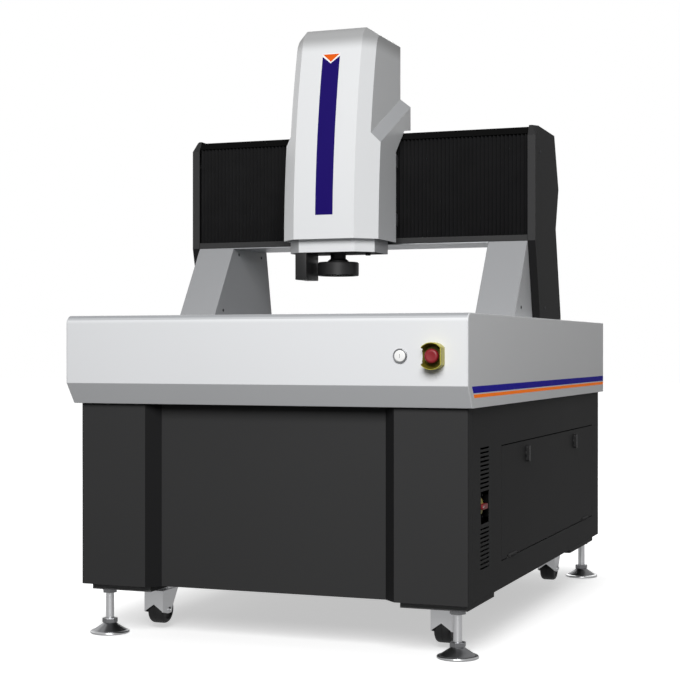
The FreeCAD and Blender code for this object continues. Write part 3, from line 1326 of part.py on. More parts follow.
def build():
    save("base_frame", base_frame())
    save("foot_locknuts", foot_locknuts())
    save("caster_plates", caster_plates())
    for name, x, y in corner_spots(FOOT_FRONT_Y, FOOT_REAR_Y, -FOOT_X, FOOT_X):
        save("foot_" + name, foot(x, y))
    for name, x, y in corner_spots(CASTER_FRONT_Y, CASTER_REAR_Y, *CASTER_X):
        save("caster_fork_" + name, caster_fork(x, y))
        save("caster_wheel_" + name, caster_wheel(x, y))
    save("corner_cover_right", corner_cover())
    save("corner_cover_left", flip(corner_cover()))
    save("front_panel", front_panel())
    save("side_panel_right", side_panel_right())
    save("side_panel_left", side_panel_left())
    save("rear_panel", rear_panel())
    save("door_right", door_right())
    save("latch_front", latch(LATCH_Y[0]))
    save("latch_rear", latch(LATCH_Y[1]))
    save("switch_plate", switch_plate())
    save("switch_knob", switch_knob())
    save("controller_box", controller_box())
    save("granite_base", granite_base())
    save("apron_front", apron_front())
    save("apron_right", apron_side())
    save("apron_left", flip(apron_side()))
    save("apron_rear", apron_rear())
    save("deck_plate", deck_plate())
    save("y_rails", y_rails())
    save("y_screw", y_screw())
    save("stage_plate", stage_plate())
    save("stage_glass", stage_glass())
    save("leg_right", leg())
    save("leg_left", flip(leg()))
    save("leg_cover_right", leg_cover())
    save("leg_cover_left", flip(leg_cover()))
    save("cross_beam", cross_beam())
    save("beam_guides", beam_guides())
    save("beam_sill", beam_sill())
    save("beam_rear_cover", beam_rear_cover())
    save("x_rails", x_rails())
    save("bellows_right", bellows(NECK_HALF, BEAM_HALF - SEAT))
    save("bellows_left", flip(bellows(NECK_HALF, BEAM_HALF - SEAT)))
    save("x_saddle", x_saddle())
    save("head_cover", head_cover())
    save("z_carriage", z_carriage())
    save("z_skirt", z_skirt())
    save("zoom_lens", zoom_lens())
    save("ring_light", ring_light())
    save("laser_sensor", laser_sensor())
    save("power_button_bezel", power_button_bezel())
    save("power_button_cap", power_button_cap())
    save("estop_guard", estop_guard())
    save("estop_stem", estop_stem())
    save("estop_head", estop_head())


build()
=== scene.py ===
"""Vision measuring machine: finishes, trim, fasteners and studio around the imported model.

Every length is in metres in the machine's own frame: X to the right, Y to the back, Z up.
"""
import json
import logging
import math
from contextlib import contextmanager
from dataclasses import dataclass
from enum import Enum
from functools import partial
from typing import Any, Callable, Iterator, Sequence

import bmesh
import bpy
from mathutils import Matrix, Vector


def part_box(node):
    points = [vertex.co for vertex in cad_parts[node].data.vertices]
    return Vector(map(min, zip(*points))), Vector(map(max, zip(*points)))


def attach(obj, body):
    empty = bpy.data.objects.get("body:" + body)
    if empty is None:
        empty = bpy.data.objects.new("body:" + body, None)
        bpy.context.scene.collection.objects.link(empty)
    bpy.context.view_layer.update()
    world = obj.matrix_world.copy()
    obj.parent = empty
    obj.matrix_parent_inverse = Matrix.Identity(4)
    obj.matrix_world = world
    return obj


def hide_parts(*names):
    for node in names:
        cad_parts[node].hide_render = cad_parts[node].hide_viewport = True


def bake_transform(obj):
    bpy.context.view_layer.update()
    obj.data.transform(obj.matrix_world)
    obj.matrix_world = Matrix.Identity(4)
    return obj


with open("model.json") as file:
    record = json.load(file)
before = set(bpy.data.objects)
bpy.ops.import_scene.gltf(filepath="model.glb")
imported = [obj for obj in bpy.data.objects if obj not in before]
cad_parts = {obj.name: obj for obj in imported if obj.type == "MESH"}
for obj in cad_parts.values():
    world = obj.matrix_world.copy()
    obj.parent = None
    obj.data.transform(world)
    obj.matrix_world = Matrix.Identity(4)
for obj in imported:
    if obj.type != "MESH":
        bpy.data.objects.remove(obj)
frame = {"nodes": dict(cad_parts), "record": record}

LOG = logging.getLogger("measuring_machine")
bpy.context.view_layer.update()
MM = 0.001
FRONT = -0.80685            # face of the front apron
SINK = 0.0002               # how far a stuck-on piece reaches into what carries it

Colour = tuple[float, float, float]
Spot = tuple[Sequence[float], Sequence[float]]
Test = Callable[[Vector, Vector], bool]


def mm(*pairs: tuple[float, float]) -> list[tuple[float, float]]:
    """Pairs of millimetres as metres."""
    return [(first * MM, second * MM) for first, second in pairs]


class Axis(Enum):
    """The axis that a turned piece is spun about."""

    X = 0
    Y = 1
    Z = 2

    def point(self, centre: Sequence[float], radius: float, along: float) -> Vector:
        """A point at a radius and a distance along this axis."""
        spot = Vector(centre)
        spot[self.value] += along
        spot[(self.value + 1) % 3] += radius
        return spot

    def arrow(self) -> Vector:
        """The unit vector of this axis."""
        return Vector([1.0 if i == self.value else 0.0 for i in range(3)])


class Pick(Enum):
    """What is selected in edit mode."""

    CORNERS = "verts"
    EDGES = "edges"
    FACES = "faces"

    def mode(self) -> tuple[bool, bool, bool]:
        """The select mode as Blender's tool settings want it."""
        return (self is Pick.CORNERS, self is Pick.EDGES, self is Pick.FACES)


# Materials


class Sock:
    """One output of a node graph, with plain arithmetic."""

    def __init__(self, graph: "Graph", socket: Any) -> None:
        """Keeps the socket and the graph that it belongs to."""
        self.graph = graph
        self.socket = socket

    def worked(self, operation: str, first: Any, second: Any) -> "Sock":
        """A Math node on two values."""
        return self.graph.node("ShaderNodeMath", {"operation": operation}, {0: first, 1: second})

    def __add__(self, other: Any) -> "Sock":
        """This value plus another."""
        return self.worked("ADD", self, other)

    def __radd__(self, other: Any) -> "Sock":
        """Another value plus this one."""
        return self.worked("ADD", other, self)

    def __sub__(self, other: Any) -> "Sock":
        """This value minus another."""
        return self.worked("SUBTRACT", self, other)

    def __rsub__(self, other: Any) -> "Sock":
        """Another value minus this one."""
        return self.worked("SUBTRACT", other, self)

    def __mul__(self, other: Any) -> "Sock":
        """This value times another."""
        return self.worked("MULTIPLY", self, other)

    def __rmul__(self, other: Any) -> "Sock":
        """Another value times this one."""
        return self.worked("MULTIPLY", other, self)

    def least(self, other: Any) -> "Sock":
        """The smaller of two values."""
        return self.worked("MINIMUM", self, other)

    def part(self, index: int) -> "Sock":
        """One coordinate of a vector."""
        return self.graph.node("ShaderNodeSeparateXYZ", {}, {0: self}, index)

    def eased(self, low: float, high: float) -> "Sock":
        """A smooth step from 0 at low to 1 at high."""
        settings = {"interpolation_type": "SMOOTHSTEP"}
        return self.graph.node("ShaderNodeMapRange", settings, {0: self, 1: low, 2: high})


class Graph:
    """A node tree while it is put together."""

    def __init__(self, tree: bpy.types.NodeTree) -> None:
        """Starts with the tree emptied."""
        self.tree = tree
        tree.nodes.clear()

    def node(self, kind: str, settings: dict[str, Any], inputs: dict[Any, Any], out: Any = 0) -> Sock:
        """Adds one node.

        Args:
            kind: The node's type.
            settings: Its properties, set first.
            inputs: Values or links by socket name or number.
            out: The output that is handed back.

        Returns:
            The chosen output.
        """
        made = self.tree.nodes.new(kind)
        for key, value in settings.items():
            setattr(made, key, value)
        for key, value in inputs.items():
            self.feed(made.inputs[key], value)
        return Sock(self, made.outputs[out])

    def feed(self, socket: Any, value: Any) -> None:
        """Links or sets one input socket."""
        if isinstance(value, Sock):
            self.tree.links.new(value.socket, socket)
        elif socket.type == "RGBA" and len(value) == 3:
            socket.default_value = (*value, 1.0)
        else:
            socket.default_value = value

    def vector(self, operation: str, first: Any, second: Any = (0.0, 0.0, 0.0), out: Any = 0) -> Sock:
        """A Vector Math node on two vectors."""
        return self.node("ShaderNodeVectorMath", {"operation": operation}, {0: first, 1: second}, out)

    def rays(self, *kinds: str) -> list[Sock]:
        """Whether the ray is of each kind."""
        return [self.node("ShaderNodeLightPath", {}, {}, f"Is {kind} Ray") for kind in kinds]

    def close(self, kind: str, surface: Sock) -> None:
        """Leads a surface to an output node."""
        self.tree.links.new(surface.socket, self.tree.nodes.new(kind).inputs[0])


class Shader(Graph):
    """A procedural material, read in object coordinates."""

    def __init__(self, name: str) -> None:
        """Starts an empty material."""
        self.material = bpy.data.materials.new(name)
        self.material.use_nodes = True
        super().__init__(self.material.node_tree)
        self.place = self.node("ShaderNodeTexCoord", {}, {}, "Object")

    def noise(self, scale: float, detail: float = 2.0, where: Sock | None = None) -> Sock:
        """Soft noise between 0 and 1, with so many lumps a metre."""
        inputs = {"Vector": where or self.place, "Scale": scale, "Detail": detail}
        return self.node("ShaderNodeTexNoise", {}, inputs)

    def mix(self, factor: Any, first: Any, second: Any) -> Sock:
        """A colour between two others."""
        return self.node("ShaderNodeMix", {"data_type": "RGBA"}, {0: factor, 6: first, 7: second}, 2)

    def toned(self, colour: Colour, factor: Any, spread: float) -> Sock:
        """A colour that turns a little darker and lighter with a factor."""
        dark = tuple(c * (1.0 - spread) for c in colour)
        light = tuple(min(1.0, c * (1.0 + spread)) for c in colour)
        return self.mix(factor, dark, light)

    def relief(self, height: Sock, reach: float) -> Sock:
        """A bumped normal from a height map."""
        return self.node("ShaderNodeBump", {}, {"Strength": 1.0, "Distance": reach, "Height": height})

    def surface(self, **sockets: Any) -> bpy.types.Material:
        """Closes the material with a Principled surface.

        Args:
            sockets: Values or links, with underscores for the spaces in the sockets' names.

        Returns:
            The finished material.
        """
        named = {key.replace("_", " "): value for key, value in sockets.items()}
        self.close("ShaderNodeOutputMaterial", self.node("ShaderNodeBsdfPrincipled", {}, named))
        return self.material


@dataclass(frozen=True)
class Paint:
    """Sprayed or powder-coated sheet metal with a fine orange-peel skin."""

    colour: Colour
    roughness: float = 0.42
    lumps: float = 700.0
    peel: float = 0.00004
    speckle: float = 0.03
    gloss: float = 0.45
    coat: float = 0.0
    # Height where the darkening starts, height where it is full, and how far the colour turns to the tone: painted
    # shade on the top.
    dust_and_shade: tuple[float, float, float] = (2.0, 2.1, 0.0)
    top_shade_tone: Colour = (0.2, 0.2, 0.2)

    def build(self, name: str) -> bpy.types.Material:
        """Makes the material, its colour turned towards a tone above a height where one is given: painted shade on the
        top.
        """
        shader = Shader(name)
        broad = shader.noise(1.7)
        fine = shader.noise(self.lumps * 3.1, 1.0)
        skin = shader.noise(self.lumps, 3.0)
        low, high, share = self.dust_and_shade
        top_shade_share = shader.place.part(2).eased(low, high) * share
        clean = shader.toned(self.colour, broad * 0.6 + fine * 0.4, self.speckle)
        return shader.surface(
            Base_Color=shader.mix(top_shade_share, clean, self.top_shade_tone),
            Roughness=broad * 0.06 + skin * 0.05 + (self.roughness - 0.055),
            Specular_IOR_Level=self.gloss,
            Coat_Weight=self.coat,
            Coat_Roughness=0.25,
            Normal=shader.relief(skin, self.peel),
        )


@dataclass(frozen=True)
class Metal:
    """Bare or plated metal, with scratches drawn out along one axis."""

    colour: Colour
    roughness: float
    along: tuple[float, float, float] = (900.0, 900.0, 900.0)
    scratch: float = 0.00001
    spread: float = 0.05
    wear: float = 0.08

    def build(self, name: str) -> bpy.types.Material:
        """Makes the material."""
        shader = Shader(name)
        lines = shader.noise(1.0, 3.0, shader.vector("MULTIPLY", shader.place, self.along))
        clouds = shader.noise(11.0, 3.0)
        return shader.surface(
            Base_Color=shader.toned(self.colour, lines * 0.5 + clouds * 0.5, self.spread),
            Metallic=1.0,
            Roughness=lines * self.wear + clouds * self.wear + (self.roughness - self.wear),
            Normal=shader.relief(lines, self.scratch),
        )


@dataclass(frozen=True)
class Moulded:
    """Moulded plastic or rubber with a fine spark-eroded grain, or a printed ink."""

    colour: Colour
    roughness: float = 0.45
    grain: float = 1600.0
    depth: float = 0.00003
    gloss: float = 0.4
    coat: float = 0.0
    bloom: float = 0.06
    # Emission strength in the ink's own colour: a painted glow.
    vivid: float = 0.0

    def build(self, name: str) -> bpy.types.Material:
        """Makes the material, with emission in its own colour where a glow is given: a painted glow."""
        shader = Shader(name)
        grain = shader.noise(self.grain)
        smears = shader.noise(35.0, 4.0)
        return shader.surface(
            Base_Color=shader.toned(self.colour, smears, self.bloom),
            Roughness=smears * 0.12 + (self.roughness - 0.06),
            Specular_IOR_Level=self.gloss,
            Coat_Weight=self.coat,
            Coat_Roughness=0.12,
            Emission_Color=self.colour,
            Emission_Strength=self.vivid,
            Normal=shader.relief(grain, self.depth),
        )


@dataclass(frozen=True)
class Granite:
    """Lapped black granite with fine pale and dark grains."""

    colour: Colour
    grains: float = 420.0

    def build(self, name: str) -> bpy.types.Material:
        """Makes the material."""
        shader = Shader(name)
        cells = {"Vector": shader.place, "Scale": self.grains}
        tint = shader.node("ShaderNodeTexVoronoi", {}, cells, "Color").part(0)
        flecks = tint.eased(0.78, 0.97)
        pale = shader.noise(90.0, 4.0)
        fleck_colour = tuple(min(1.0, 0.06 + c * 3.4) for c in self.colour)
        return shader.surface(
            Base_Color=shader.mix(flecks * 0.7, shader.toned(self.colour, pale, 0.35), fleck_colour),
            Roughness=pale * 0.12 + 0.22 + flecks * 0.08,
            Specular_IOR_Level=0.45,
            Normal=shader.relief(tint, 0.000008),
        )


@dataclass(frozen=True)
class CoatedCloth:
    """Rubber-coated cloth of the way covers, with a fine weave under the coat."""

    colour: Colour
    threads: float = 900.0

    def build(self, name: str) -> bpy.types.Material:
        """Makes the material."""
        shader = Shader(name)
        inputs = {"Vector": shader.place, "Scale": self.threads / 6.28}
        warp, weft = (shader.node("ShaderNodeTexWave", {"bands_direction": way}, inputs) for way in "XZ")
        dust_and_shade = shader.noise(14.0, 5.0)
        return shader.surface(
            Base_Color=shader.toned(self.colour, dust_and_shade, 0.25),
            Roughness=dust_and_shade * 0.15 + 0.5,
            Specular_IOR_Level=0.16,
            Normal=shader.relief(warp * weft, 0.00004),
        )


@dataclass(frozen=True)
class ClearGlass:
    """Float glass or a coated lens, with faint smears."""

    tint: Colour
    roughness: float = 0.03

    def build(self, name: str) -> bpy.types.Material:
        """Makes the material."""
        shader = Shader(name)
        smears = shader.noise(22.0, 4.0)
        return shader.surface(
            Base_Color=shader.toned(self.tint, smears, 0.02),
            Roughness=smears * 0.03 + self.roughness,
            Transmission_Weight=1.0,
            IOR=1.5,
            Normal=shader.relief(shader.noise(3.0), 0.00005),
        )


def cool(level: float, roughness: float = 0.40, **more: Any) -> Paint:
    """Light paint with a slight blue tone."""
    return Paint((level, level + 0.01, level + 0.025), roughness, **more)


def coat(level: float, gloss: float, blue: float = 0.0005) -> Paint:
    """Smooth black powder coat."""
    return Paint((level, level, level + blue), 0.6, 900.0, 0.00008, 0.12, gloss)


def rough_coat(level: float, gloss: float = 0.06, blue: float = 0.0005, lumps: float = 1100.0) -> Paint:
    """Coarse black powder coat."""
    return Paint((level, level, level + blue), 0.6, lumps, 0.0001, 0.15, gloss)


LEG = partial(Paint, roughness=0.5, lumps=500.0, peel=0.00006)
INK = partial(Moulded, grain=500.0, depth=0.00001, bloom=0.03)
FINISHES: dict[str, Any] = {
    "paint_white": cool(0.715, coat=0.1),
    "paint_grey": cool(0.68, 0.42, coat=0.1),
    # The head's top turns darker from 1.605 m to 1.650 m: painted shade on its brow.
    "head_white": Paint((0.725, 0.735, 0.745), 0.38, coat=0.1, dust_and_shade=(1.605, 1.650, 0.7)),
    "head_grey": cool(0.64, 0.42),
    # A lighter copy of the apron's grey for its side faces: painted light.
    "apron_side_lit": cool(0.90, 0.36, coat=0.35),
    # Darker copies of the apron's paint for its rounded top edge and its lower bevel: painted shade.
    "apron_roll_shade": cool(0.49, coat=0.1),
    "apron_crest_shade": cool(0.345, coat=0.1),
    "apron_slant_shade": cool(0.60, 0.42, coat=0.1),
    # A darker copy of the head's white for its sloping shoulder: painted shade.
    "head_shoulder_shade": cool(0.46, coat=0.1),
    # A darker copy of the head's white for the skirt's sides and chamfers: painted shade.
    "skirt_side_shade": Paint((0.36, 0.365, 0.375)),
    # A lighter copy of the legs' paint for their outer faces and a darker one for their inner faces: painted light and
    # painted shade.
    "leg_side_lit": LEG((0.74, 0.75, 0.765)),
    "leg_inner_shade": LEG((0.255, 0.26, 0.27)),
    "leg_paint": LEG((0.31, 0.315, 0.325)),
    "paint_black": coat(0.035, 0.08),
    # A darker copy of the cabinet's black for its side faces: painted shade.
    "paint_flank_shade": coat(0.0228, 0.07, 0.0004),
    "paint_shade": coat(0.0125, 0.06),
    "paint_dark": rough_coat(0.031),
    # A lighter copy of the beam's black for the lower guide and the end covers' front strip: painted light.
    "paint_strip_lit": rough_coat(0.043),
    # Near black: the switch plate's own black, and painted shade on the beam's upper guide, the end covers' tops and
    # the door's seam.
    "paint_deep_black_and_shade": rough_coat(0.0062, 0.0, 0.0),
    "frame_steel": rough_coat(0.045, 0.1, 0.001, 600.0),
    # A much lighter copy of the frame's paint for the foot blocks' fronts, which sit in the cabinet's shadow: painted
    # light.
    "frame_front_lit": rough_coat(0.30, 0.1, 0.005, 600.0),
    "granite": Granite((0.035, 0.036, 0.038)),
    "aluminium": Metal((0.62, 0.63, 0.65), 0.36, (30.0, 1400.0, 1400.0)),
    "steel": Metal((0.56, 0.57, 0.58), 0.26, (1600.0, 25.0, 1600.0)),
    "chrome": Metal((0.62, 0.625, 0.635), 0.3, (700.0, 700.0, 60.0), 0.000004, 0.03, 0.05),
    "zinc": Metal((0.74, 0.745, 0.76), 0.34, (500.0, 500.0, 500.0), 0.000008, 0.08, 0.1),
    "dark_chrome": Metal((0.24, 0.242, 0.25), 0.34, (700.0, 700.0, 60.0), 0.000004, 0.05, 0.05),
    "black_oxide": Metal((0.05, 0.05, 0.055), 0.42, scratch=0.00002),
    "brass": Metal((0.72, 0.5, 0.2), 0.3),
    "glass": ClearGlass((0.86, 0.95, 0.93)),
    "lens_glass": ClearGlass((0.35, 0.42, 0.6), 0.01),
    "ruby_glass": Moulded((0.11, 0.004, 0.006), 0.12, 300.0, 0.000002, 0.5, 0.6),
    "black_plastic": Moulded((0.014, 0.014, 0.0145), gloss=0.3),
    "bellows_black": CoatedCloth((0.0105, 0.0105, 0.011)),
    "wheel_black": Moulded((0.012, 0.012, 0.0125), 0.5, 700.0, 0.00006, 0.35),
    "white_plastic": Moulded((0.86, 0.86, 0.85), 0.3, coat=0.4),
    "red_plastic": Moulded((0.22, 0.008, 0.014), 0.5, coat=0.06),
    "yellow_plastic": Moulded((0.46, 0.41, 0.055), 0.4),
    "yellow_shade": Moulded((0.10, 0.08, 0.006), 0.55, gloss=0.2),
    "lamp_white": Moulded((0.78, 0.78, 0.74), 0.35, 900.0, 0.00001),
    "navy_ink": INK((0.008, 0.001, 0.115), 0.5, gloss=0.1),
    "orange_ink": INK((0.72, 0.105, 0.004), 0.5, gloss=0.12),
    "side_navy": INK((0.012, 0.003, 0.50), 0.6, gloss=0.1),
    # The side band's orange glows a little through emission: a painted glow.
    "side_orange": INK((1.0, 0.20, 0.012), 0.6, gloss=0.1, vivid=0.34),
    "white_ink": Moulded((0.88, 0.88, 0.88), 0.4, 500.0, 0.00001, bloom=0.02),
    "grey_ink": Moulded((0.16, 0.16, 0.17), 0.45, 500.0, 0.00001, bloom=0.04),
}


class FinishBook:
    """Makes each finish once and hands it out by name."""

    STEADY: dict[str, str] = {"foot_locknuts": "dark_chrome", "caster_plates": "zinc"}

    def __init__(self) -> None:
        """Starts with no finish made."""
        self.made: dict[str, bpy.types.Material] = {}

    def get(self, name: str) -> bpy.types.Material:
        """The material of a finish."""
        if name not in self.made:
            self.made[name] = FINISHES[name].build(name)
        return self.made[name]

    def dress_nodes(self) -> None:
        """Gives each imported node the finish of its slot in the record."""
        for row in frame["record"]["subparts"]:
            node = frame["nodes"][row["node"]]
            name = self.STEADY.get(row["node"], row["material_slot"])
            if row["node"].startswith("caster_fork"):
                name = "zinc"
            for holder in node.material_slots:
                holder.material = self.get(name)
            if not node.material_slots:
                node.data.materials.append(self.get(name))


# Modelling


class Bench:
    """Where new pieces are modelled: primitives, edit-mode steps and applied modifiers."""

    def __init__(self, book: FinishBook) -> None:
        """Keeps the finishes for the delivery of pieces."""
        self.book = book
        self.count = 0

    @staticmethod
    def clear() -> None:
        """Object mode with nothing selected."""
        if bpy.context.object is not None and bpy.context.object.mode != "OBJECT":
            bpy.ops.object.mode_set(mode="OBJECT")
        bpy.ops.object.select_all(action="DESELECT")

    @classmethod
    def take(cls, *objects: bpy.types.Object) -> None:
        """Selects these objects alone, the first one active."""
        cls.clear()
        for obj in objects:
            obj.select_set(True)
        bpy.context.view_layer.objects.active = objects[0]

    @classmethod
    def adopt(cls, name: str) -> bpy.types.Object:
        """Names the active object and puts its place into its mesh."""
        obj = bpy.context.active_object
        obj.name = name
        obj.data.name = name
        cls.take(obj)
        bpy.ops.object.transform_apply(location=True, rotation=True, scale=True)
        return obj

    @contextmanager
    def editing(self, obj: bpy.types.Object, pick: Pick = Pick.FACES) -> Iterator[bpy.types.Object]:
        """Edit mode on one object, left again at the end."""
        self.take(obj)
        bpy.ops.object.mode_set(mode="EDIT")
        bpy.context.tool_settings.mesh_select_mode = pick.mode()
        try:
            yield obj
        finally:
            bpy.ops.object.mode_set(mode="OBJECT")

    @staticmethod
    def choose(obj: bpy.types.Object, pick: Pick, test: Test) -> None:
        """Selects what passes a test in edit mode.

        Args:
            obj: The object in edit mode.
            pick: Corners, edges or faces.
            test: Takes the middle and the normal, or for an edge its direction.
        """
        bpy.ops.mesh.select_all(action="DESELECT")
        mesh = bmesh.from_edit_mesh(obj.data)
        for item in getattr(mesh, pick.value):
            if pick is Pick.FACES:
                middle, lean = item.calc_center_median(), item.normal
            elif pick is Pick.EDGES:
                ends = [corner.co for corner in item.verts]
                middle, lean = (ends[0] + ends[1]) / 2, (ends[1] - ends[0]).normalized()
            else:
                middle, lean = item.co, item.normal
            if test(middle, lean):
                item.select_set(True)
        mesh.select_flush(True)
        bmesh.update_edit_mesh(obj.data)

    @staticmethod
    def outwards() -> None:
        """Turns all normals outwards in edit mode."""
        bpy.ops.mesh.select_all(action="SELECT")
        bpy.ops.mesh.normals_make_consistent(inside=False)

    @staticmethod
    def part(height: float) -> None:
        """Cuts the selected faces at a height."""
        bpy.ops.mesh.bisect(plane_co=(0, 0, height), plane_no=(0, 0, 1))

    def accent(self, obj: bpy.types.Object, finish: str, test: Test) -> None:
        """Gives the faces whose middle and normal pass a test another finish."""
        obj.data.materials.append(self.book.get(finish))
        for face in obj.data.polygons:
            if test(face.center, face.normal):
                face.material_index = len(obj.data.materials) - 1

    def block(self, name: str, low: Sequence[float], high: Sequence[float]) -> bpy.types.Object:
        """A cube between two corners, ready to be shaped."""
        self.clear()
        low, high = Vector(low), Vector(high)
        bpy.ops.mesh.primitive_cube_add(size=1.0, location=(low + high) / 2, scale=high - low)
        return self.adopt(name)

    def grid(self, name: str, low: Vector, high: Vector, columns: int, rows: int) -> bpy.types.Object:
        """An upright sheet in X and Z with columns and rows of faces, facing the front."""
        self.clear()
        middle = (low + high) / 2
        counts = {"x_subdivisions": columns, "y_subdivisions": rows}
        bpy.ops.mesh.primitive_grid_add(size=1.0, location=middle, rotation=(math.radians(90), 0, 0), **counts)
        obj = self.adopt(name)
        with self.editing(obj):
            bpy.ops.mesh.select_all(action="SELECT")
            bpy.ops.transform.resize(value=(high.x - low.x, 1.0, high.z - low.z), center_override=middle)
        return obj

    def drum(
        self, name: str, centre: Sequence[float], radius: float, depth: float, axis: Axis, sides: int = 24
    ) -> bpy.types.Object:
        """A cylinder along an axis, with its near end at the centre given."""
        self.clear()
        quarter = math.radians(90)
        turn = {Axis.X: (0, quarter, 0), Axis.Y: (quarter, 0, 0), Axis.Z: (0, 0, 0)}[axis]
        middle = Vector(centre) + axis.arrow() * depth / 2
        size = {"vertices": sides, "radius": radius, "depth": depth}
        bpy.ops.mesh.primitive_cylinder_add(location=middle, rotation=turn, **size)
        return self.adopt(name)

    def outline(self, name: str, points: Sequence[Vector], filled: bool = False) -> bpy.types.Object:
        """A ring of corners, each moved to its own point."""
        self.clear()
        fill = "NGON" if filled else "NOTHING"
        bpy.ops.mesh.primitive_circle_add(vertices=len(points), radius=0.01, fill_type=fill)
        obj = self.adopt(name)
        with self.editing(obj, Pick.CORNERS):
            for index, point in enumerate(points):
                bpy.ops.mesh.select_all(action="DESELECT")
                mesh = bmesh.from_edit_mesh(obj.data)
                mesh.verts.ensure_lookup_table()
                mesh.verts[index].select_set(True)
                step = Vector(point) - mesh.verts[index].co
                bmesh.update_edit_mesh(obj.data)
                bpy.ops.transform.translate(value=step)
        return obj

    def turned(
        self,
        name: str,
        profile: Sequence[tuple[float, float]],
        centre: Sequence[float],
        axis: Axis,
        sides: int = 48,
        soft: float | None = None,
    ) -> bpy.types.Object:
        """Spins a closed profile about an axis.

        Args:
            name: The piece's name.
            profile: Pairs of radius and distance along the axis.
            centre: A point on the axis.
            axis: The axis.
            sides: How many faces go round.
            soft: The angle up to which it is shaded smooth, if it is.

        Returns:
            The closed solid.
        """
        obj = self.outline(name, [axis.point(centre, radius, along) for radius, along in profile])
        with self.editing(obj, Pick.CORNERS):
            bpy.ops.mesh.select_all(action="SELECT")
            bpy.ops.mesh.spin(steps=sides, angle=math.tau, center=Vector(centre), axis=axis.arrow())
            bpy.ops.mesh.select_all(action="SELECT")
            bpy.ops.mesh.remove_doubles(threshold=1e-6)
            bpy.ops.mesh.normals_make_consistent(inside=False)
        if soft is not None:
            self.smooth(obj, soft)
        return obj

    def prism(self, name: str, points: Sequence[Sequence[float]], step: Sequence[float]) -> bpy.types.Object:
        """A filled outline drawn out by a step."""
        obj = self.outline(name, [Vector(point) for point in points], filled=True)
        with self.editing(obj):
            bpy.ops.mesh.select_all(action="SELECT")
            bpy.ops.mesh.extrude_region_move(TRANSFORM_OT_translate={"value": Vector(step)})
            self.outwards()
        return obj

    def apply(self, obj: bpy.types.Object, kind: str, **settings: Any) -> None:
        """Adds one modifier and applies it."""
        self.take(obj)
        modifier = obj.modifiers.new(kind.title(), kind)
        for key, value in settings.items():
            setattr(modifier, key, value)
        bpy.ops.object.modifier_apply(modifier=modifier.name)

    def rounded(self, obj: bpy.types.Object, width: float, segments: int = 2, angle: float = 30.0) -> None:
        """Rounds every edge sharper than an angle."""
        limit = {"limit_method": "ANGLE", "angle_limit": math.radians(angle)}
        self.apply(obj, "BEVEL", width=width, segments=segments, **limit)

    def subtract(self, obj: bpy.types.Object, tool: bpy.types.Object) -> None:
        """Cuts one object out of another and removes the tool."""
        self.apply(obj, "BOOLEAN", object=tool, operation="DIFFERENCE", solver="EXACT")
        bpy.data.objects.remove(tool, do_unlink=True)

    def smooth(self, obj: bpy.types.Object, angle: float = 32.0) -> None:
        """Smooth shading except over sharp edges."""
        self.take(obj)
        bpy.ops.object.shade_smooth_by_angle(angle=math.radians(angle))

    def evened(self, obj: bpy.types.Object, angle: float) -> bpy.types.Object:
        """Smooth shading with flat faces kept flat."""
        self.smooth(obj, angle)
        self.apply(obj, "WEIGHTED_NORMAL", keep_sharp=True)
        return obj

    def joined(self, name: str, parts: Sequence[bpy.types.Object]) -> bpy.types.Object:
        """Several objects as one piece."""
        self.take(*parts)
        bpy.ops.object.transform_apply(location=True, rotation=True, scale=True)
        if len(parts) > 1:
            bpy.ops.object.join()
        return self.adopt(name)

    def copies(self, name: str, master: bpy.types.Object, spots: Sequence[Spot]) -> bpy.types.Object:
        """Copies of a small master that points up from the origin, joined into one piece.

        Args:
            name: The joined piece's name.
            master: The modelled original, which is used up.
            spots: A place and the way it points for each copy.

        Returns:
            The joined piece.
        """
        made = []
        for place, way in spots:
            twin = bpy.data.objects.new(name, master.data.copy())
            bpy.context.scene.collection.objects.link(twin)
            twin.rotation_euler = Vector(way).to_track_quat("Z", "Y").to_euler()
            twin.location = Vector(place)
            made.append(twin)
        bpy.data.objects.remove(master, do_unlink=True)
        return self.joined(name, made)

    def merged(self, name: str, node: str) -> bpy.types.Object:
        """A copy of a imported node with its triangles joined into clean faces."""
        self.clear()
        obj = bpy.data.objects.new(name, frame["nodes"][node].data.copy())
        bpy.context.scene.collection.objects.link(obj)
        self.take(obj)
        bpy.ops.mesh.customdata_custom_splitnormals_clear()
        with self.editing(obj):
            bpy.ops.mesh.select_all(action="SELECT")
            bpy.ops.mesh.remove_doubles(threshold=1e-5)
            bpy.ops.mesh.dissolve_limited(angle_limit=math.radians(0.4))
        return obj

    def refined(
        self, name: str, node: str, width: float, segments: int = 3, levels: Sequence[float] = ()
    ) -> bpy.types.Object:
        """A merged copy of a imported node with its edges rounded.

        Args:
            name: The new piece's name.
            node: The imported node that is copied.
            width: The rounding of the edges.
            segments: The faces across each rounding.
            levels: Heights at which its front faces are parted.

        Returns:
            The new piece.
        """
        obj = self.merged(name, node)
        for height in levels:
            with self.editing(obj):
                self.choose(obj, Pick.FACES, lambda _, way: way.y < -0.9)
                self.part(height)
        self.rounded(obj, width, segments, 20.0)
        return self.evened(obj, 35.0)

    def deliver(
        self, obj: bpy.types.Object, body: str | None, finish: str, slot: str = "", replaces: Sequence[str] = ()
    ) -> bpy.types.Object:
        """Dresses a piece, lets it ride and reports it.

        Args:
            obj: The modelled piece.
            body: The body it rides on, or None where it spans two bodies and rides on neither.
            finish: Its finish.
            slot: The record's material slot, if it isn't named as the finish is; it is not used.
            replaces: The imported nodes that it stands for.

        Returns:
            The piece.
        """
        obj.data.materials.clear()
        obj.data.materials.append(self.book.get(finish))
        slot = slot or finish
        if replaces:
            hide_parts(*replaces)
        if body is not None:
            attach(obj, body)
        self.count += 1
        LOG.info("piece %d: %s on %s", self.count, obj.name, body or "two bodies")
        return obj


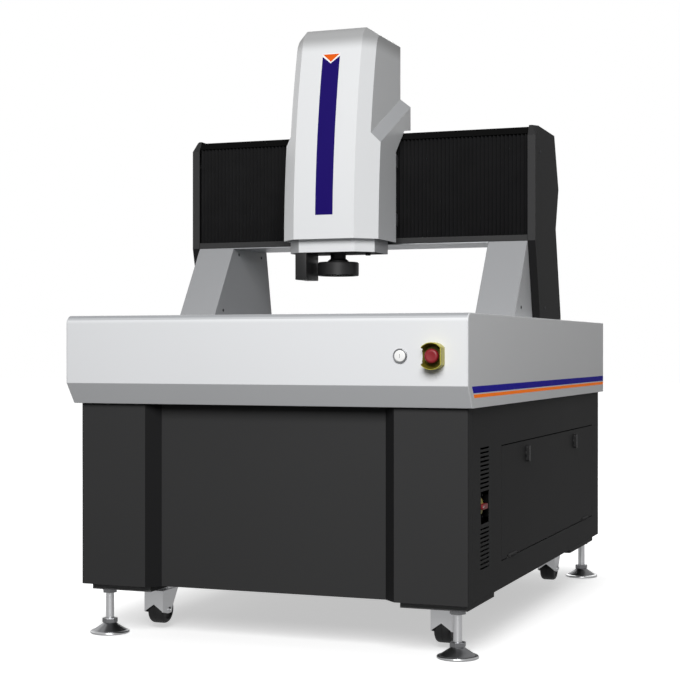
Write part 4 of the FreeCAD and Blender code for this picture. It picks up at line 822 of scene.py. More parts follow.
@dataclass
class Assembly:
    """A sub-assembly that is modelled on the bench."""

    bench: Bench


@dataclass
class Fastener(Assembly):
    """A screw head with a hexagon socket, modelled once pointing up from the origin."""

    radius: float = 5.0 * MM
    height: float = 2.6 * MM
    socket: float = 3.0 * MM
    domed: bool = True

    def master(self) -> bpy.types.Object:
        """The head with its socket cut in."""
        r, h = self.radius, self.height
        edge, low = (0.55 * r, 0.45 * h) if self.domed else (0.9 * r, 0.85 * h)
        head = self.bench.turned("screw", [(0, -SINK), (r, -SINK), (r, low), (edge, h), (0, h)], (0, 0, 0), Axis.Z, 16)
        self.bench.subtract(head, self.bench.drum("socket", (0, 0, h * 0.45), self.socket / math.sqrt(3), h, Axis.Z, 6))
        return head

    def fit(
        self, name: str, body: str, spots: Sequence[Spot], finish: str = "black_oxide", slot: str = "black_plastic"
    ) -> None:
        """Puts a copy at each spot on one body."""
        self.bench.deliver(self.bench.copies(name, self.master(), spots), body, finish, slot)


# Sub-assemblies


@dataclass
class Skins(Assembly):
    """Packed sheets and castings whose edges are softened, each in its own finish and on its own body."""

    rows: tuple[tuple[str, float, int], ...] = (
        ("apron_front", 0.9, 3),
        ("apron_right", 0.8, 2),
        ("apron_left", 0.8, 2),
        ("apron_rear", 0.8, 2),
        ("front_panel", 0.6, 2),
        ("side_panel_right", 0.3, 1),
        ("side_panel_left", 0.3, 1),
        ("rear_panel", 0.5, 1),
        ("door_right", 0.3, 1),
        ("deck_plate", 0.8, 2),
        ("leg_right", 1.0, 2),
        ("leg_left", 1.0, 2),
        ("leg_cover_right", 0.6, 2),
        ("leg_cover_left", 0.6, 2),
        ("beam_guides", 0.7, 2),
        ("beam_sill", 0.5, 2),
        ("beam_rear_cover", 0.6, 2),
        ("stage_plate", 0.8, 2),
        ("switch_plate", 0.6, 2),
        ("switch_knob", 0.6, 2),
        ("base_frame", 0.6, 1),
    )
    guide_split: float = 1.3
    strip: tuple[float, float] = (1.0724, 1.376)
    knob_disc: float = 0.5251
    block_top: float = 0.2
    column_round: float = 0.006
    column_x: float = 0.5345
    column_y: float = FRONT + 0.053
    sheet: float = 0.002

    def soften(self, node: str, width: float, segments: int) -> None:
        """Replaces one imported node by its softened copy, with a rounding in millimetres."""
        row = next(row for row in frame["record"]["subparts"] if row["node"] == node)
        bodies = frame["record"]["behaviour"]["bodies"]
        body = next(name for name, nodes in bodies.items() if node in nodes)
        levels = self.strip if node.startswith("leg_cover") else ()
        skin = self.bench.refined(node + "_skin", node, width * MM, segments, levels)
        # The beam guides start in the lighter strip finish, as painted light; the switch plate is near black.
        finish = {"switch_plate": "paint_deep_black_and_shade", "beam_guides": "paint_strip_lit"}.get(node, row["material_slot"])
        self.bench.deliver(skin, body, finish, row["material_slot"], [node])
        self.accents(skin, node)

    def accents(self, skin: bpy.types.Object, node: str) -> None:
        """Gives some faces of a skin a finish of their own: the knob's yellow disc, and lighter or darker copies of a
        paint as painted light and painted shade.
        """
        side = -1 if node.endswith("left") else 1
        low, high = self.strip
        rules: dict[Any, list[tuple[str, Test]]] = {
            # The upper guide above the split is near black: painted shade.
            "beam_guides": [("paint_deep_black_and_shade", lambda at, way: at.z > self.guide_split)],
            "switch_knob": [("yellow_plastic", lambda at, way: at.x < self.knob_disc)],
            # The front faces of the foot blocks are lighter: painted light in the cabinet's shadow.
            "base_frame": [("frame_front_lit", lambda at, way: way.y < -0.9 and at.z < self.block_top)],
            # The lower bevel and the rounded top edge of the apron's front are darker: painted shade.
            "apron_front": [
                ("apron_slant_shade", lambda at, way: way.y < -0.3 and way.z < -0.3),
                ("apron_roll_shade", lambda at, way: way.y < -0.1 and 0.45 < way.z <= 0.62),
                ("apron_crest_shade", lambda at, way: way.y < -0.1 and 0.62 < way.z < 0.94),
            ],
            # The aprons' outer side faces are lighter: painted light.
            ("apron_right", "apron_left"): [("apron_side_lit", lambda at, way: way.x * side > 0.9)],
            # The legs' outer faces are lighter and their inner faces darker: painted light and painted shade.
            ("leg_right", "leg_left"): [
                ("leg_side_lit", lambda at, way: way.x * side > 0.9),
                ("leg_inner_shade", lambda at, way: way.x * side < -0.9),
            ],
            # The cabinet's side faces are darker: painted shade.
            ("side_panel", "door_right"): [("paint_flank_shade", lambda at, way: way.x * side > 0.9)],
            # The end covers' front faces: lighter along the way covers' band, darker below it and darkest above it:
            # painted light and painted shade.
            "leg_cover": [
                ("paint_strip_lit", lambda at, way: way.y < -0.9 and low < at.z < high),
                ("paint_shade", lambda at, way: way.y < -0.9 and at.z < low),
                ("paint_deep_black_and_shade", lambda at, way: way.y < -0.9 and at.z > high),
            ],
        }
        for start, tests in rules.items():
            if node.startswith(start):
                for finish, test in tests:
                    self.bench.accent(skin, finish, test)

    def column(self, node: str, side: int) -> None:
        """A front corner column, folded round its outer edge in a radius."""
        bench = self.bench
        obj = bench.merged(node + "_skin", node)
        for inset, radius in ((0.0, self.column_round), (self.sheet, self.column_round - self.sheet)):
            place = Vector((side * (self.column_x - inset), self.column_y + inset))
            with bench.editing(obj, Pick.EDGES):
                bench.choose(obj, Pick.EDGES, lambda at, way: abs(way.z) > 0.9 and (at.xy - place).length < 0.0003)
                bpy.ops.mesh.bevel(offset=radius, segments=6)
        bench.rounded(obj, 0.0005, 2, 34.0)
        bench.deliver(bench.evened(obj, 30.0), "base", "paint_black", replaces=[node])
        # The column's slanted faces and its side face are darker: painted shade.
        bench.accent(obj, "paint_shade", lambda at, way: way.y < -0.5 and way.x * side < -0.5)
        bench.accent(obj, "paint_flank_shade", lambda at, way: way.x * side > 0.9)

    def build(self) -> None:
        """Makes every skin."""
        for row in self.rows:
            self.soften(*row)
        self.column("corner_cover_right", 1)
        self.column("corner_cover_left", -1)


@dataclass
class Head(Assembly):
    """The camera head: rounded covers and the printed band down its curved face."""

    face_y: float = FRONT + 0.456
    face_z: float = 1.072
    face_radius: float = 2.290
    edge: float = 0.0035
    shoulder_top: float = 1.56
    band_x: tuple[float, float] = (-0.0250, 0.0270)
    band_z: tuple[float, float] = (1.139, 1.598)
    tip_z: float = 1.5745
    mark_top: float = 1.5975
    line: float = 0.0030
    skin: float = 0.0004
    root: float = 0.0008
    strip: float = 0.012

    def depth(self, z: float) -> float:
        """Where the curved front face lies at a height."""
        return self.face_y + self.face_radius - math.sqrt(self.face_radius**2 - (z - self.face_z) ** 2)

    def covers(self) -> None:
        """The head cover and its inner skirt with softened edges."""
        bench, top = self.bench, self.shoulder_top
        cover = bench.refined("head_cover_shell", "head_cover", self.edge, 3)
        bench.deliver(cover, "x_head", "head_white", replaces=["head_cover"])
        # The head cover's upward-sloping right shoulder is darker: painted shade.
        bench.accent(cover, "head_shoulder_shade", lambda at, way: way.z > 0.3 and way.x > 0.3 and at.z < top)
        skirt = bench.refined("head_skirt_shell", "z_skirt", 0.0008, 2)
        bench.deliver(skirt, "z_head", "head_white", "head_grey", ["z_skirt"])
        # The skirt's side and chamfer faces are darker: painted shade.
        bench.accent(skirt, "skirt_side_shade", lambda at, way: way.x > 0.8 or way.x < -0.3)
        bench.accent(skirt, "paint_black", lambda at, way: way.z < -0.8)

    def printed(self, name: str, outline: Sequence[tuple[float, float]], finish: str, lift: float) -> None:
        """A thin printed area laid on the curved face.

        Args:
            name: The piece's name.
            outline: Corners as X and Z.
            finish: The ink.
            lift: How far its outer face stands off the cover.
        """
        bench = self.bench
        obj = bench.outline(name, [Vector((x, self.face_y - 0.1, z)) for x, z in outline], filled=True)
        low, high = min(z for _, z in outline), max(z for _, z in outline)
        steps = max(1, int((high - low) / self.strip))
        with bench.editing(obj):
            bpy.ops.mesh.select_all(action="SELECT")
            if obj.data.polygons[0].normal.y > 0:
                bpy.ops.mesh.flip_normals()
            for index in range(1, steps):
                bpy.ops.mesh.select_all(action="SELECT")
                bench.part(low + (high - low) * index / steps)
        for corner in obj.data.vertices:
            corner.co.y = self.depth(corner.co.z) - lift
        bench.apply(obj, "SOLIDIFY", thickness=lift + self.root, offset=-1.0)
        with bench.editing(obj):
            bench.outwards()
        bench.smooth(obj)
        bench.deliver(obj, "x_head", finish, "head_white")

    def build(self) -> None:
        """The covers, the navy band, the orange arrowhead over it and the pale line between them."""
        self.covers()
        left, right = self.band_x
        middle = (left + right) / 2
        low, top = self.band_z
        gap, tip, mark, side = self.line, self.tip_z, self.mark_top, top - 0.006
        navy = [(left, low), (right, low), (right, side - 0.001), (middle, tip - gap * 1.35), (left, side - 0.001)]
        self.printed("head_band", navy, "navy_ink", self.skin)
        arrow = [(left + 0.001, mark), (middle, tip + gap * 0.2), (right - 0.001, mark)]
        self.printed("head_arrow", arrow, "orange_ink", self.skin)
        pale = [(left, side), (left - 0.001, mark + 0.002), (middle, mark + 0.002), (right + 0.001, mark + 0.002)]
        pale += [(right, side), (middle, tip - gap * 1.3)]
        self.printed("head_arrow_edge", pale, "white_ink", self.skin * 0.6)


@dataclass
class Optics(Assembly):
    """The ring light's lamps, the lens front, the laser sensor's windows and small fittings."""

    axis_y: float = FRONT + 0.573
    light_bottom: float = 0.9735
    rings: tuple[tuple[float, float, int], ...] = ((0.0300, 0.0114, 22), (0.0375, 0.0081, 28), (0.0440, 0.0052, 34))
    slope: tuple[float, float] = (0.39, -0.92)
    lamp_radius: float = 0.0019
    glass_z: float = 1.0123
    laser_x: tuple[float, float] = (-0.0944, -0.0605)
    laser_y: tuple[float, float] = (FRONT + 0.4788, FRONT + 0.572)
    laser_z: tuple[float, float] = (0.960, 1.0357)
    windows: tuple[tuple[float, float], ...] = ((0.014, 0.038), (0.054, 0.078))
    plug: tuple[float, float, float] = (0.099, FRONT + 0.550, 1.0362)

    def lamps(self) -> None:
        """Rows of small lamps set in the slanting face of the ring light."""
        bench = self.bench
        bench.clear()
        bpy.ops.mesh.primitive_ico_sphere_add(subdivisions=2, radius=self.lamp_radius)
        lamp = bench.adopt("lamp")
        with bench.editing(lamp):
            bpy.ops.mesh.select_all(action="SELECT")
            bpy.ops.mesh.bisect(plane_co=(0, 0, -SINK), plane_no=(0, 0, 1), use_fill=True, clear_inner=True)
        bench.smooth(lamp, 60)
        spots = []
        across, up = self.slope
        for radius, rise, count in self.rings:
            for index in range(count):
                angle = math.tau * index / count
                out = Vector((math.cos(angle), math.sin(angle), 0))
                place = Vector((0, self.axis_y, self.light_bottom + rise)) + out * radius
                spots.append((place, out * -across + Vector((0, 0, up))))
        bench.deliver(bench.copies("ring_light_lamps", lamp, spots), "z_head", "lamp_white", "white_plastic")

    def lens_front(self) -> None:
        """The front element and its threaded rim, seen up through the ring light."""
        bench, centre = self.bench, (0, self.axis_y, self.glass_z)
        profile = mm((0, -4.6), (8, -4), (13.5, -2.6), (14.5, -1.2), (14.5, -0.2), (0, -0.2))
        lens = bench.turned("lens_front_glass", profile, centre, Axis.Z, 40, 32.0)
        bench.deliver(lens, "z_head", "lens_glass", "glass")
        profile = mm((14.6, -0.1), (14.6, -4), (15.2, -4.3), (15.8, -4), (15.9, -0.1))
        rim = bench.turned("lens_front_rim", profile, centre, Axis.Z, 40)
        bench.deliver(rim, "z_head", "black_plastic")

    def laser(self) -> None:
        """The height sensor's body, its red windows and its screws."""
        bench = self.bench
        (x0, x1), (y0, y1), (z0, z1) = self.laser_x, self.laser_y, self.laser_z
        body = bench.block("laser_body", (x0, y0, z0), (x1, y1, z1))
        bench.rounded(body, 0.0016, 3)
        for near, far in self.windows:
            low, high = (x0 + 0.006, y0 + near, z0 - 0.001), (x1 - 0.006, y0 + far, z0 + 0.002)
            bench.subtract(body, bench.block("window", low, high))
        bench.smooth(body)
        bench.deliver(body, "z_head", "black_plastic", replaces=["laser_sensor"])
        for name, (near, far) in zip(("laser_window_out", "laser_window_in"), self.windows):
            low, high = (x0 + 0.0063, y0 + near + 0.0003, z0 + 0.0004), (x1 - 0.0063, y0 + far - 0.0003, z0 + 0.0021)
            pane = bench.block(name, low, high)
            bench.rounded(pane, 0.0004, 2)
            bench.deliver(pane, "z_head", "ruby_glass", "glass")
        spots = [
            ((x, y, z), (way, 0, 0))
            for z in (z0 + 0.010, z1 - 0.012)
            for y in (y0 + 0.008, y1 - 0.008)
            for x, way in ((x0, -1), (x1, 1))
        ]
        Fastener(bench, 2.6 * MM, 1.2 * MM, 1.9 * MM).fit("laser_screws", "z_head", spots)

    def build(self) -> None:
        """Makes every piece of the optics and the small black locking knob under the skirt."""
        self.lamps()
        self.lens_front()
        self.laser()
        profile = mm((0, 0), (7.2, 0), (7.8, -1.2), (7.8, -6.2), (6.6, -7.8), (0, -8.2))
        knob = self.bench.turned("skirt_knob", profile, self.plug, Axis.Z, 28, 32.0)
        self.bench.deliver(knob, "z_head", "black_plastic")


@dataclass
class WayCover(Assembly):
    """One pleated cover between an end of the beam and the head; the real one folds up as the head moves."""

    side: int
    inner: float = 0.1042
    outer: float = 0.5141
    front_y: float = FRONT + 0.7292
    depth: float = 0.0122
    low: float = 1.0898
    high: float = 1.3752
    folds: int = 70
    cloth: float = 0.0010

    def build(self) -> None:
        """Folds a sheet, thickens it and leaves it between the beam and the head on no body."""
        bench = self.bench
        node = "bellows_right" if self.side > 0 else "bellows_left"
        near, far = sorted((self.side * self.inner, self.side * self.outer))
        low, high = Vector((near, self.front_y, self.low)), Vector((far, self.front_y, self.high))
        obj = bench.grid(node + "_cloth", low, high, self.folds, 1)
        pitch = (far - near) / self.folds
        with bench.editing(obj, Pick.CORNERS):
            bench.choose(obj, Pick.CORNERS, lambda at, _: round((at.x - near) / pitch) % 2 == 0)
            bpy.ops.transform.translate(value=(0, self.depth, 0))
        bench.apply(obj, "SOLIDIFY", thickness=self.cloth, offset=-1.0)
        with bench.editing(obj):
            bench.outwards()
        bench.rounded(obj, 0.0006, 2, 40.0)
        bench.smooth(obj, 40)
        bench.deliver(obj, None, "bellows_black", replaces=[node])
        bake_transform(obj)


@dataclass
class Bridge(Assembly):
    """Fasteners on the legs, the end covers and the top of the bridge."""

    leg_in: float = 0.3995
    leg_out: float = 0.5146
    cover: float = 0.538
    top: float = 1.397
    top_x: tuple[float, ...] = (-0.46, -0.155, 0.155, 0.46)
    top_y: tuple[float, ...] = (0.93, 0.80)
    leg_screws: tuple[tuple[float, float], ...] = ((0.767, 1.053), (0.938, 1.053), (0.653, 0.881))
    outer_screw: tuple[float, float] = (0.655, 0.881)
    cover_screws: tuple[tuple[float, float], ...] = ((0.784, 1.329), (0.976, 1.329), (0.843, 0.884), (1.032, 0.884))

    def build(self) -> None:
        """Fits the screws on both sides."""
        legs, covers = [], []
        for side in (-1, 1):
            legs += [((side * self.leg_in, FRONT + y, z), (-side, 0, 0)) for y, z in self.leg_screws]
            y, z = self.outer_screw
            legs.append(((side * self.leg_out, FRONT + y, z), (side, 0, 0)))
            covers += [((side * self.cover, FRONT + y, z), (side, 0, 0)) for y, z in self.cover_screws]
        tops = [((x, FRONT + y, self.top), (0, 0, 1)) for x in self.top_x for y in self.top_y]
        Fastener(self.bench, 4.6 * MM, 1.6 * MM).fit("leg_screws", "base", legs)
        Fastener(self.bench, 4.4 * MM, 1.8 * MM).fit("cover_screws", "base", covers)
        Fastener(self.bench, 4.4 * MM, 1.8 * MM).fit("beam_top_screws", "base", tops)


@dataclass
class Table(Assembly):
    """The two-colour bands along the table's sides and the fittings of the moving stage."""

    side: float = 0.550
    skin: float = 0.0001
    root: float = 0.0008
    rear: float = FRONT + 1.6455
    navy: tuple[tuple[float, float], ...] = ((0.0310, 0.6741), (0.0450, 0.6573))
    orange: tuple[tuple[float, float], ...] = ((0.0471, 0.6541), (0.0537, 0.6456))
    stage_y: float = FRONT + 0.573
    stage_top: float = 0.851
    rim: tuple[float, float] = (0.300, 0.2485)
    rim_pitch: float = 0.060
    rail_x: float = 0.250
    rail_top: float = 0.8120
    rail_pitch: float = 0.065

    def bands(self) -> None:
        """Navy over orange on both sides, cut on a slant at the front."""
        for way, label in ((1, "right"), (-1, "left")):
            for colour, ((y0, z0), (y1, z1)) in (("navy", self.navy), ("orange", self.orange)):
                x = way * (self.side - self.root)
                points = [(x, FRONT + y0, z0), (x, self.rear, z0), (x, self.rear, z1), (x, FRONT + y1, z1)]
                piece = self.bench.prism(f"{colour}_band_{label}", points, (way * (self.root + self.skin), 0, 0))
                self.bench.deliver(piece, "base", "side_" + colour, "paint_grey")

    def build(self) -> None:
        """The bands, threaded inserts round the stage's rim and the screws along its two rails."""
        self.bands()
        profile = mm((3.1, -4), (4.8, -4), (4.8, 0), (4.5, 0.3), (3.4, 0.3), (3.1, 0))
        master = self.bench.turned("insert", profile, (0, 0, 0), Axis.Z, 16)
        (rim_x, rim_y), pitch = self.rim, self.rim_pitch
        places = [(index * pitch, y) for index in range(-5, 6) for y in (-rim_y, rim_y)]
        places += [(x, index * pitch) for index in range(-3, 4) for x in (-rim_x, rim_x)]
        spots = [((x, self.stage_y + y, self.stage_top - 0.0003), (0, 0, 1)) for x, y in places]
        self.bench.deliver(self.bench.copies("stage_inserts", master, spots), "y_stage", "black_oxide", "steel")
        ends = (-self.rail_x, self.rail_x)
        steps = range(-7, 8)
        spots = [((x, self.stage_y + step * self.rail_pitch, self.rail_top), (0, 0, 1)) for x in ends for step in steps]
        Fastener(self.bench, 3.6 * MM, 0.5 * MM, 2.6 * MM, False).fit("rail_screws", "base", spots, "steel", "steel")


@dataclass
class Controls(Assembly):
    """The start button's cap with its mark, and the stop button's mushroom."""

    start: tuple[float, float] = (0.379, 0.7477)
    start_front: float = FRONT - 0.006
    stop: tuple[float, float] = (0.466, 0.7475)
    stop_front: float = FRONT - 0.03115
    cap_radius: float = 0.0142
    bore: float = 0.0149
    mark: tuple[float, float] = (0.0008, 0.0048)
    collar: tuple[float, float] = (0.0330, 0.0305)
    collar_flat: float = 0.0255
    collar_wall: float = 0.0018
    collar_open: tuple[float, float] = (0.054, 0.0745)
    collar_step: float = 0.0080

    def start_button(self) -> None:
        """A domed white cap that slides in a slim chrome ring, with an upright bar on it."""
        bench, r, front = self.bench, self.cap_radius, self.start_front
        x, z = self.start
        low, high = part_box("power_button_cap")
        near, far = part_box("power_button_bezel")
        out, deep, inner = (far.x - near.x) / 2, high.y - low.y, r + 0.0002
        face, back = FRONT - near.y - 0.0001, far.y - near.y
        ring = [(inner, 0.0006), (inner + 0.0004, 0.0002), (out - 0.0012, 0.0), (out - 0.0004, 0.0004), (out, 0.0012)]
        ring += [(out, face), (self.bore, face), (self.bore, back), (inner, back)]
        bezel = bench.turned("start_bezel", ring, (x, near.y, z), Axis.Y, 48, 28)
        bench.deliver(bezel, "base", "dark_chrome", "chrome", ["power_button_bezel"])
        profile = [(0, 0.0), (r * 0.8, 0.00012), (r * 0.93, 0.0005), (r * 0.985, 0.0012), (r, 0.0022)]
        profile += [(r, deep), (0, deep)]
        cap = bench.turned("start_cap", profile, (x, front, z), Axis.Y, 48, 25)
        bench.deliver(cap, "power_button", "white_plastic", replaces=["power_button_cap"])
        wide, tall = self.mark
        bar = bench.block("start_mark", (x - wide, front - 0.0001, z - tall), (x + wide, front + 0.0006, z + tall))
        with bench.editing(bar, Pick.EDGES):
            bench.choose(bar, Pick.EDGES, lambda _, way: abs(way.y) > 0.9)
            bpy.ops.mesh.bevel(offset=0.0005, segments=3)
        bench.deliver(bar, "power_button", "grey_ink", "white_plastic")

    def stop_head(self) -> None:
        """The red mushroom with a dished face and a waist behind its rim."""
        x, z = self.stop
        profile = mm((0, 0.8), (8, 0.6), (10.8, 0.1), (13.1, 0.2), (15.1, 1.2), (16.6, 2.6), (17.4, 4.4), (17.7, 6.4))
        profile += mm((17.7, 9.4), (16.5, 10.9), (12.2, 11.1), (12, 16.4), (4.1, 16.4), (4.1, 4.8), (0, 4.8))
        head = self.bench.turned("stop_mushroom", profile, (x, self.stop_front, z), Axis.Y, 56, 40)
        self.bench.deliver(head, "estop_head", "red_plastic", replaces=["estop_head"])

    def stop_collar(self) -> None:
        """The yellow collar, open towards the left, flat on the right and hollow round the mushroom."""
        bench = self.bench
        x, z = self.stop
        low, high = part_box("estop_guard")
        outer, inner = self.collar
        back = FRONT - 0.0002 - low.y
        place, deep = (x, low.y, z), back - 0.004
        beyond = (x + 0.05, FRONT + 0.01, z + 0.05)
        rim = [(0, 0.0), (outer - 0.0006, 0.0), (outer, 0.0008), (outer, back), (0, back)]
        collar = bench.turned("stop_collar", rim, place, Axis.Y, 64)
        bench.subtract(collar, bench.block("flat", (x + self.collar_flat, low.y - 0.01, z - 0.05), beyond))
        bowl = [(0, -0.002), (inner + 0.0009, -0.002), (inner + 0.0009, 0.0), (inner, 0.0012), (inner - 0.0025, 0.013)]
        room = bench.turned("room", bowl + [(inner - 0.0060, deep), (0, deep)], place, Axis.Y, 64)
        wall = x + self.collar_flat - self.collar_wall
        bench.subtract(room, bench.block("side", (wall, low.y - 0.01, z - 0.05), beyond))
        bench.subtract(collar, room)
        radius, away = self.collar_open
        for near, depth in ((away, deep), (away + self.collar_step, back + 0.002)):
            bench.subtract(collar, bench.drum("notch", (x - near, low.y - 0.001, z), radius, depth, Axis.Y, 96))
        bench.smooth(collar, 30)
        bench.deliver(collar, "base", "yellow_plastic", replaces=["estop_guard"])

        def inside(at: Vector, way: Vector) -> bool:
            """Whether a face looks towards the mushroom."""
            out = Vector((at.x - x, 0, at.z - z))
            return way.dot(out) < -0.2 * out.length or (way.y < -0.9 and at.y > low.y + 0.01)

        bench.accent(collar, "yellow_shade", inside)

    def build(self) -> None:
        """Makes every piece of the controls."""
        self.start_button()
        self.stop_head()
        self.stop_collar()


@dataclass
class Cabinet(Assembly):
    """Fasteners of the cabinet's panels, and small parts of its switch, latches and inlet."""

    half: float = 0.5345
    back: float = FRONT + 1.638
    back_screws: tuple[tuple[float, ...], ...] = ((-0.505, -0.17, 0.17, 0.505), (0.170, 0.590))
    left_screws: tuple[tuple[float, ...], ...] = ((0.16, 0.62, 1.12, 1.60), (0.165, 0.592))
    switch: tuple[float, float] = (FRONT + 0.203, 0.369)
    plate_x: float = 0.5195
    latches: tuple[tuple[str, float], ...] = (("front", FRONT + 0.6365), ("rear", FRONT + 1.2525))
    latch_z: float = 0.475
    gasket_x: tuple[float, float] = (0.5300, 0.5324)
    gasket_half: float = 0.0075
    pins: tuple[tuple[float, float], ...] = ((-0.0068, 0.2865), (0.0068, 0.2865), (0.0, 0.2935))

    def panel_screws(self) -> None:
        """Screws round the back sheet and the left sheet."""
        (across, back_z), (along, left_z) = self.back_screws, self.left_screws
        spots = [((x, self.back, z), (0, 1, 0)) for x in across for z in back_z]
        spots += [((-self.half, FRONT + y, z), (-1, 0, 0)) for y in along for z in left_z]
        Fastener(self.bench, 4.6 * MM, 1.8 * MM).fit("panel_screws", "base", spots)

    def switch_parts(self) -> None:
        """Four screws on the switch's plate, its yellow ring and a pale pointer on its handle."""
        y, z = self.switch
        low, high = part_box("switch_plate")
        corners = [(sy, sz) for sy in (low.y + 0.016, high.y - 0.016) for sz in (low.z + 0.017, high.z - 0.017)]
        spots = [((self.plate_x, sy, sz), (1, 0, 0)) for sy, sz in corners]
        Fastener(self.bench, 2.6 * MM, 1.0 * MM, 1.8 * MM).fit("switch_screws", "base", spots)
        ring = mm((20.4, 0), (24.5, 0), (24.5, 1.6), (24, 2), (20.4, 2))
        disc = self.bench.turned("switch_disc", ring, (self.plate_x, y, z), Axis.X, 48, 32.0)
        self.bench.deliver(disc, "base", "yellow_plastic")
        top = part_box("switch_knob")[1].x
        low, high = (top - 0.0004, y - 0.0235, z - 0.0009), (top + 0.0002, y - 0.010, z + 0.0009)
        pointer = self.bench.block("switch_pointer", low, high)
        self.bench.rounded(pointer, 0.0002, 1)
        self.bench.deliver(pointer, "main_switch", "white_ink", "red_plastic")

    def latch_slots(self) -> None:
        """The key slots in the two latches."""
        z = self.latch_z
        for label, y in self.latches:
            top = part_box("latch_" + label)[1].x
            profile = mm((0, -0.4), (4.6, -0.4), (4.6, 0), (4.1, 0.4), (0, 0.4))
            disc = self.bench.turned(f"latch_key_{label}", profile, (top, y, z), Axis.X, 24)
            low, high = (top - 0.0001, y - 0.0006, z - 0.003), (top + 0.001, y + 0.0006, z + 0.003)
            self.bench.subtract(disc, self.bench.block("slot", low, high))
            self.bench.deliver(disc, "latch_" + label, "black_oxide", "black_plastic")

    def group(self, name: str, boxes: Sequence[Spot], width: float, finish: str, slot: str) -> None:
        """Rounded blocks between pairs of corners, joined into one piece."""
        made = []
        for low, high in boxes:
            made.append(self.bench.block(name, low, high))
            self.bench.rounded(made[-1], width, 2)
        self.bench.deliver(self.bench.joined(name, made), "base", finish, slot)

    def gasket(self) -> None:
        """Rubber strips behind the seam along the top and the two ends of the door."""
        low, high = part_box("door_right")
        (x0, x1), half = self.gasket_x, self.gasket_half
        near, far, top, foot = low.y - 0.0015, high.y + 0.0015, high.z + 0.0015, low.z + 0.03
        boxes = [((x0, near - half, top - half), (x1, far + half, top + half))]
        boxes += [((x0, y - half, foot), (x1, y + half, top - half)) for y in (near, far)]
        # The strips are near black so that the seam shows dark: rubber, and painted shade in the seam.
        self.group("door_gasket", boxes, 0.0005, "paint_deep_black_and_shade", "paint_black")

    def build(self) -> None:
        """Makes every piece of the cabinet, with the three flat pins inside the mains inlet."""
        self.panel_screws()
        self.switch_parts()
        self.latch_slots()
        self.gasket()
        y0, y1 = self.back - 0.0012, self.back + 0.0030
        boxes = [((x - 0.0010, y0, z - 0.0020), (x + 0.0010, y1, z + 0.0020)) for x, z in self.pins]
        self.group("inlet_pins", boxes, 0.0003, "brass", "steel")


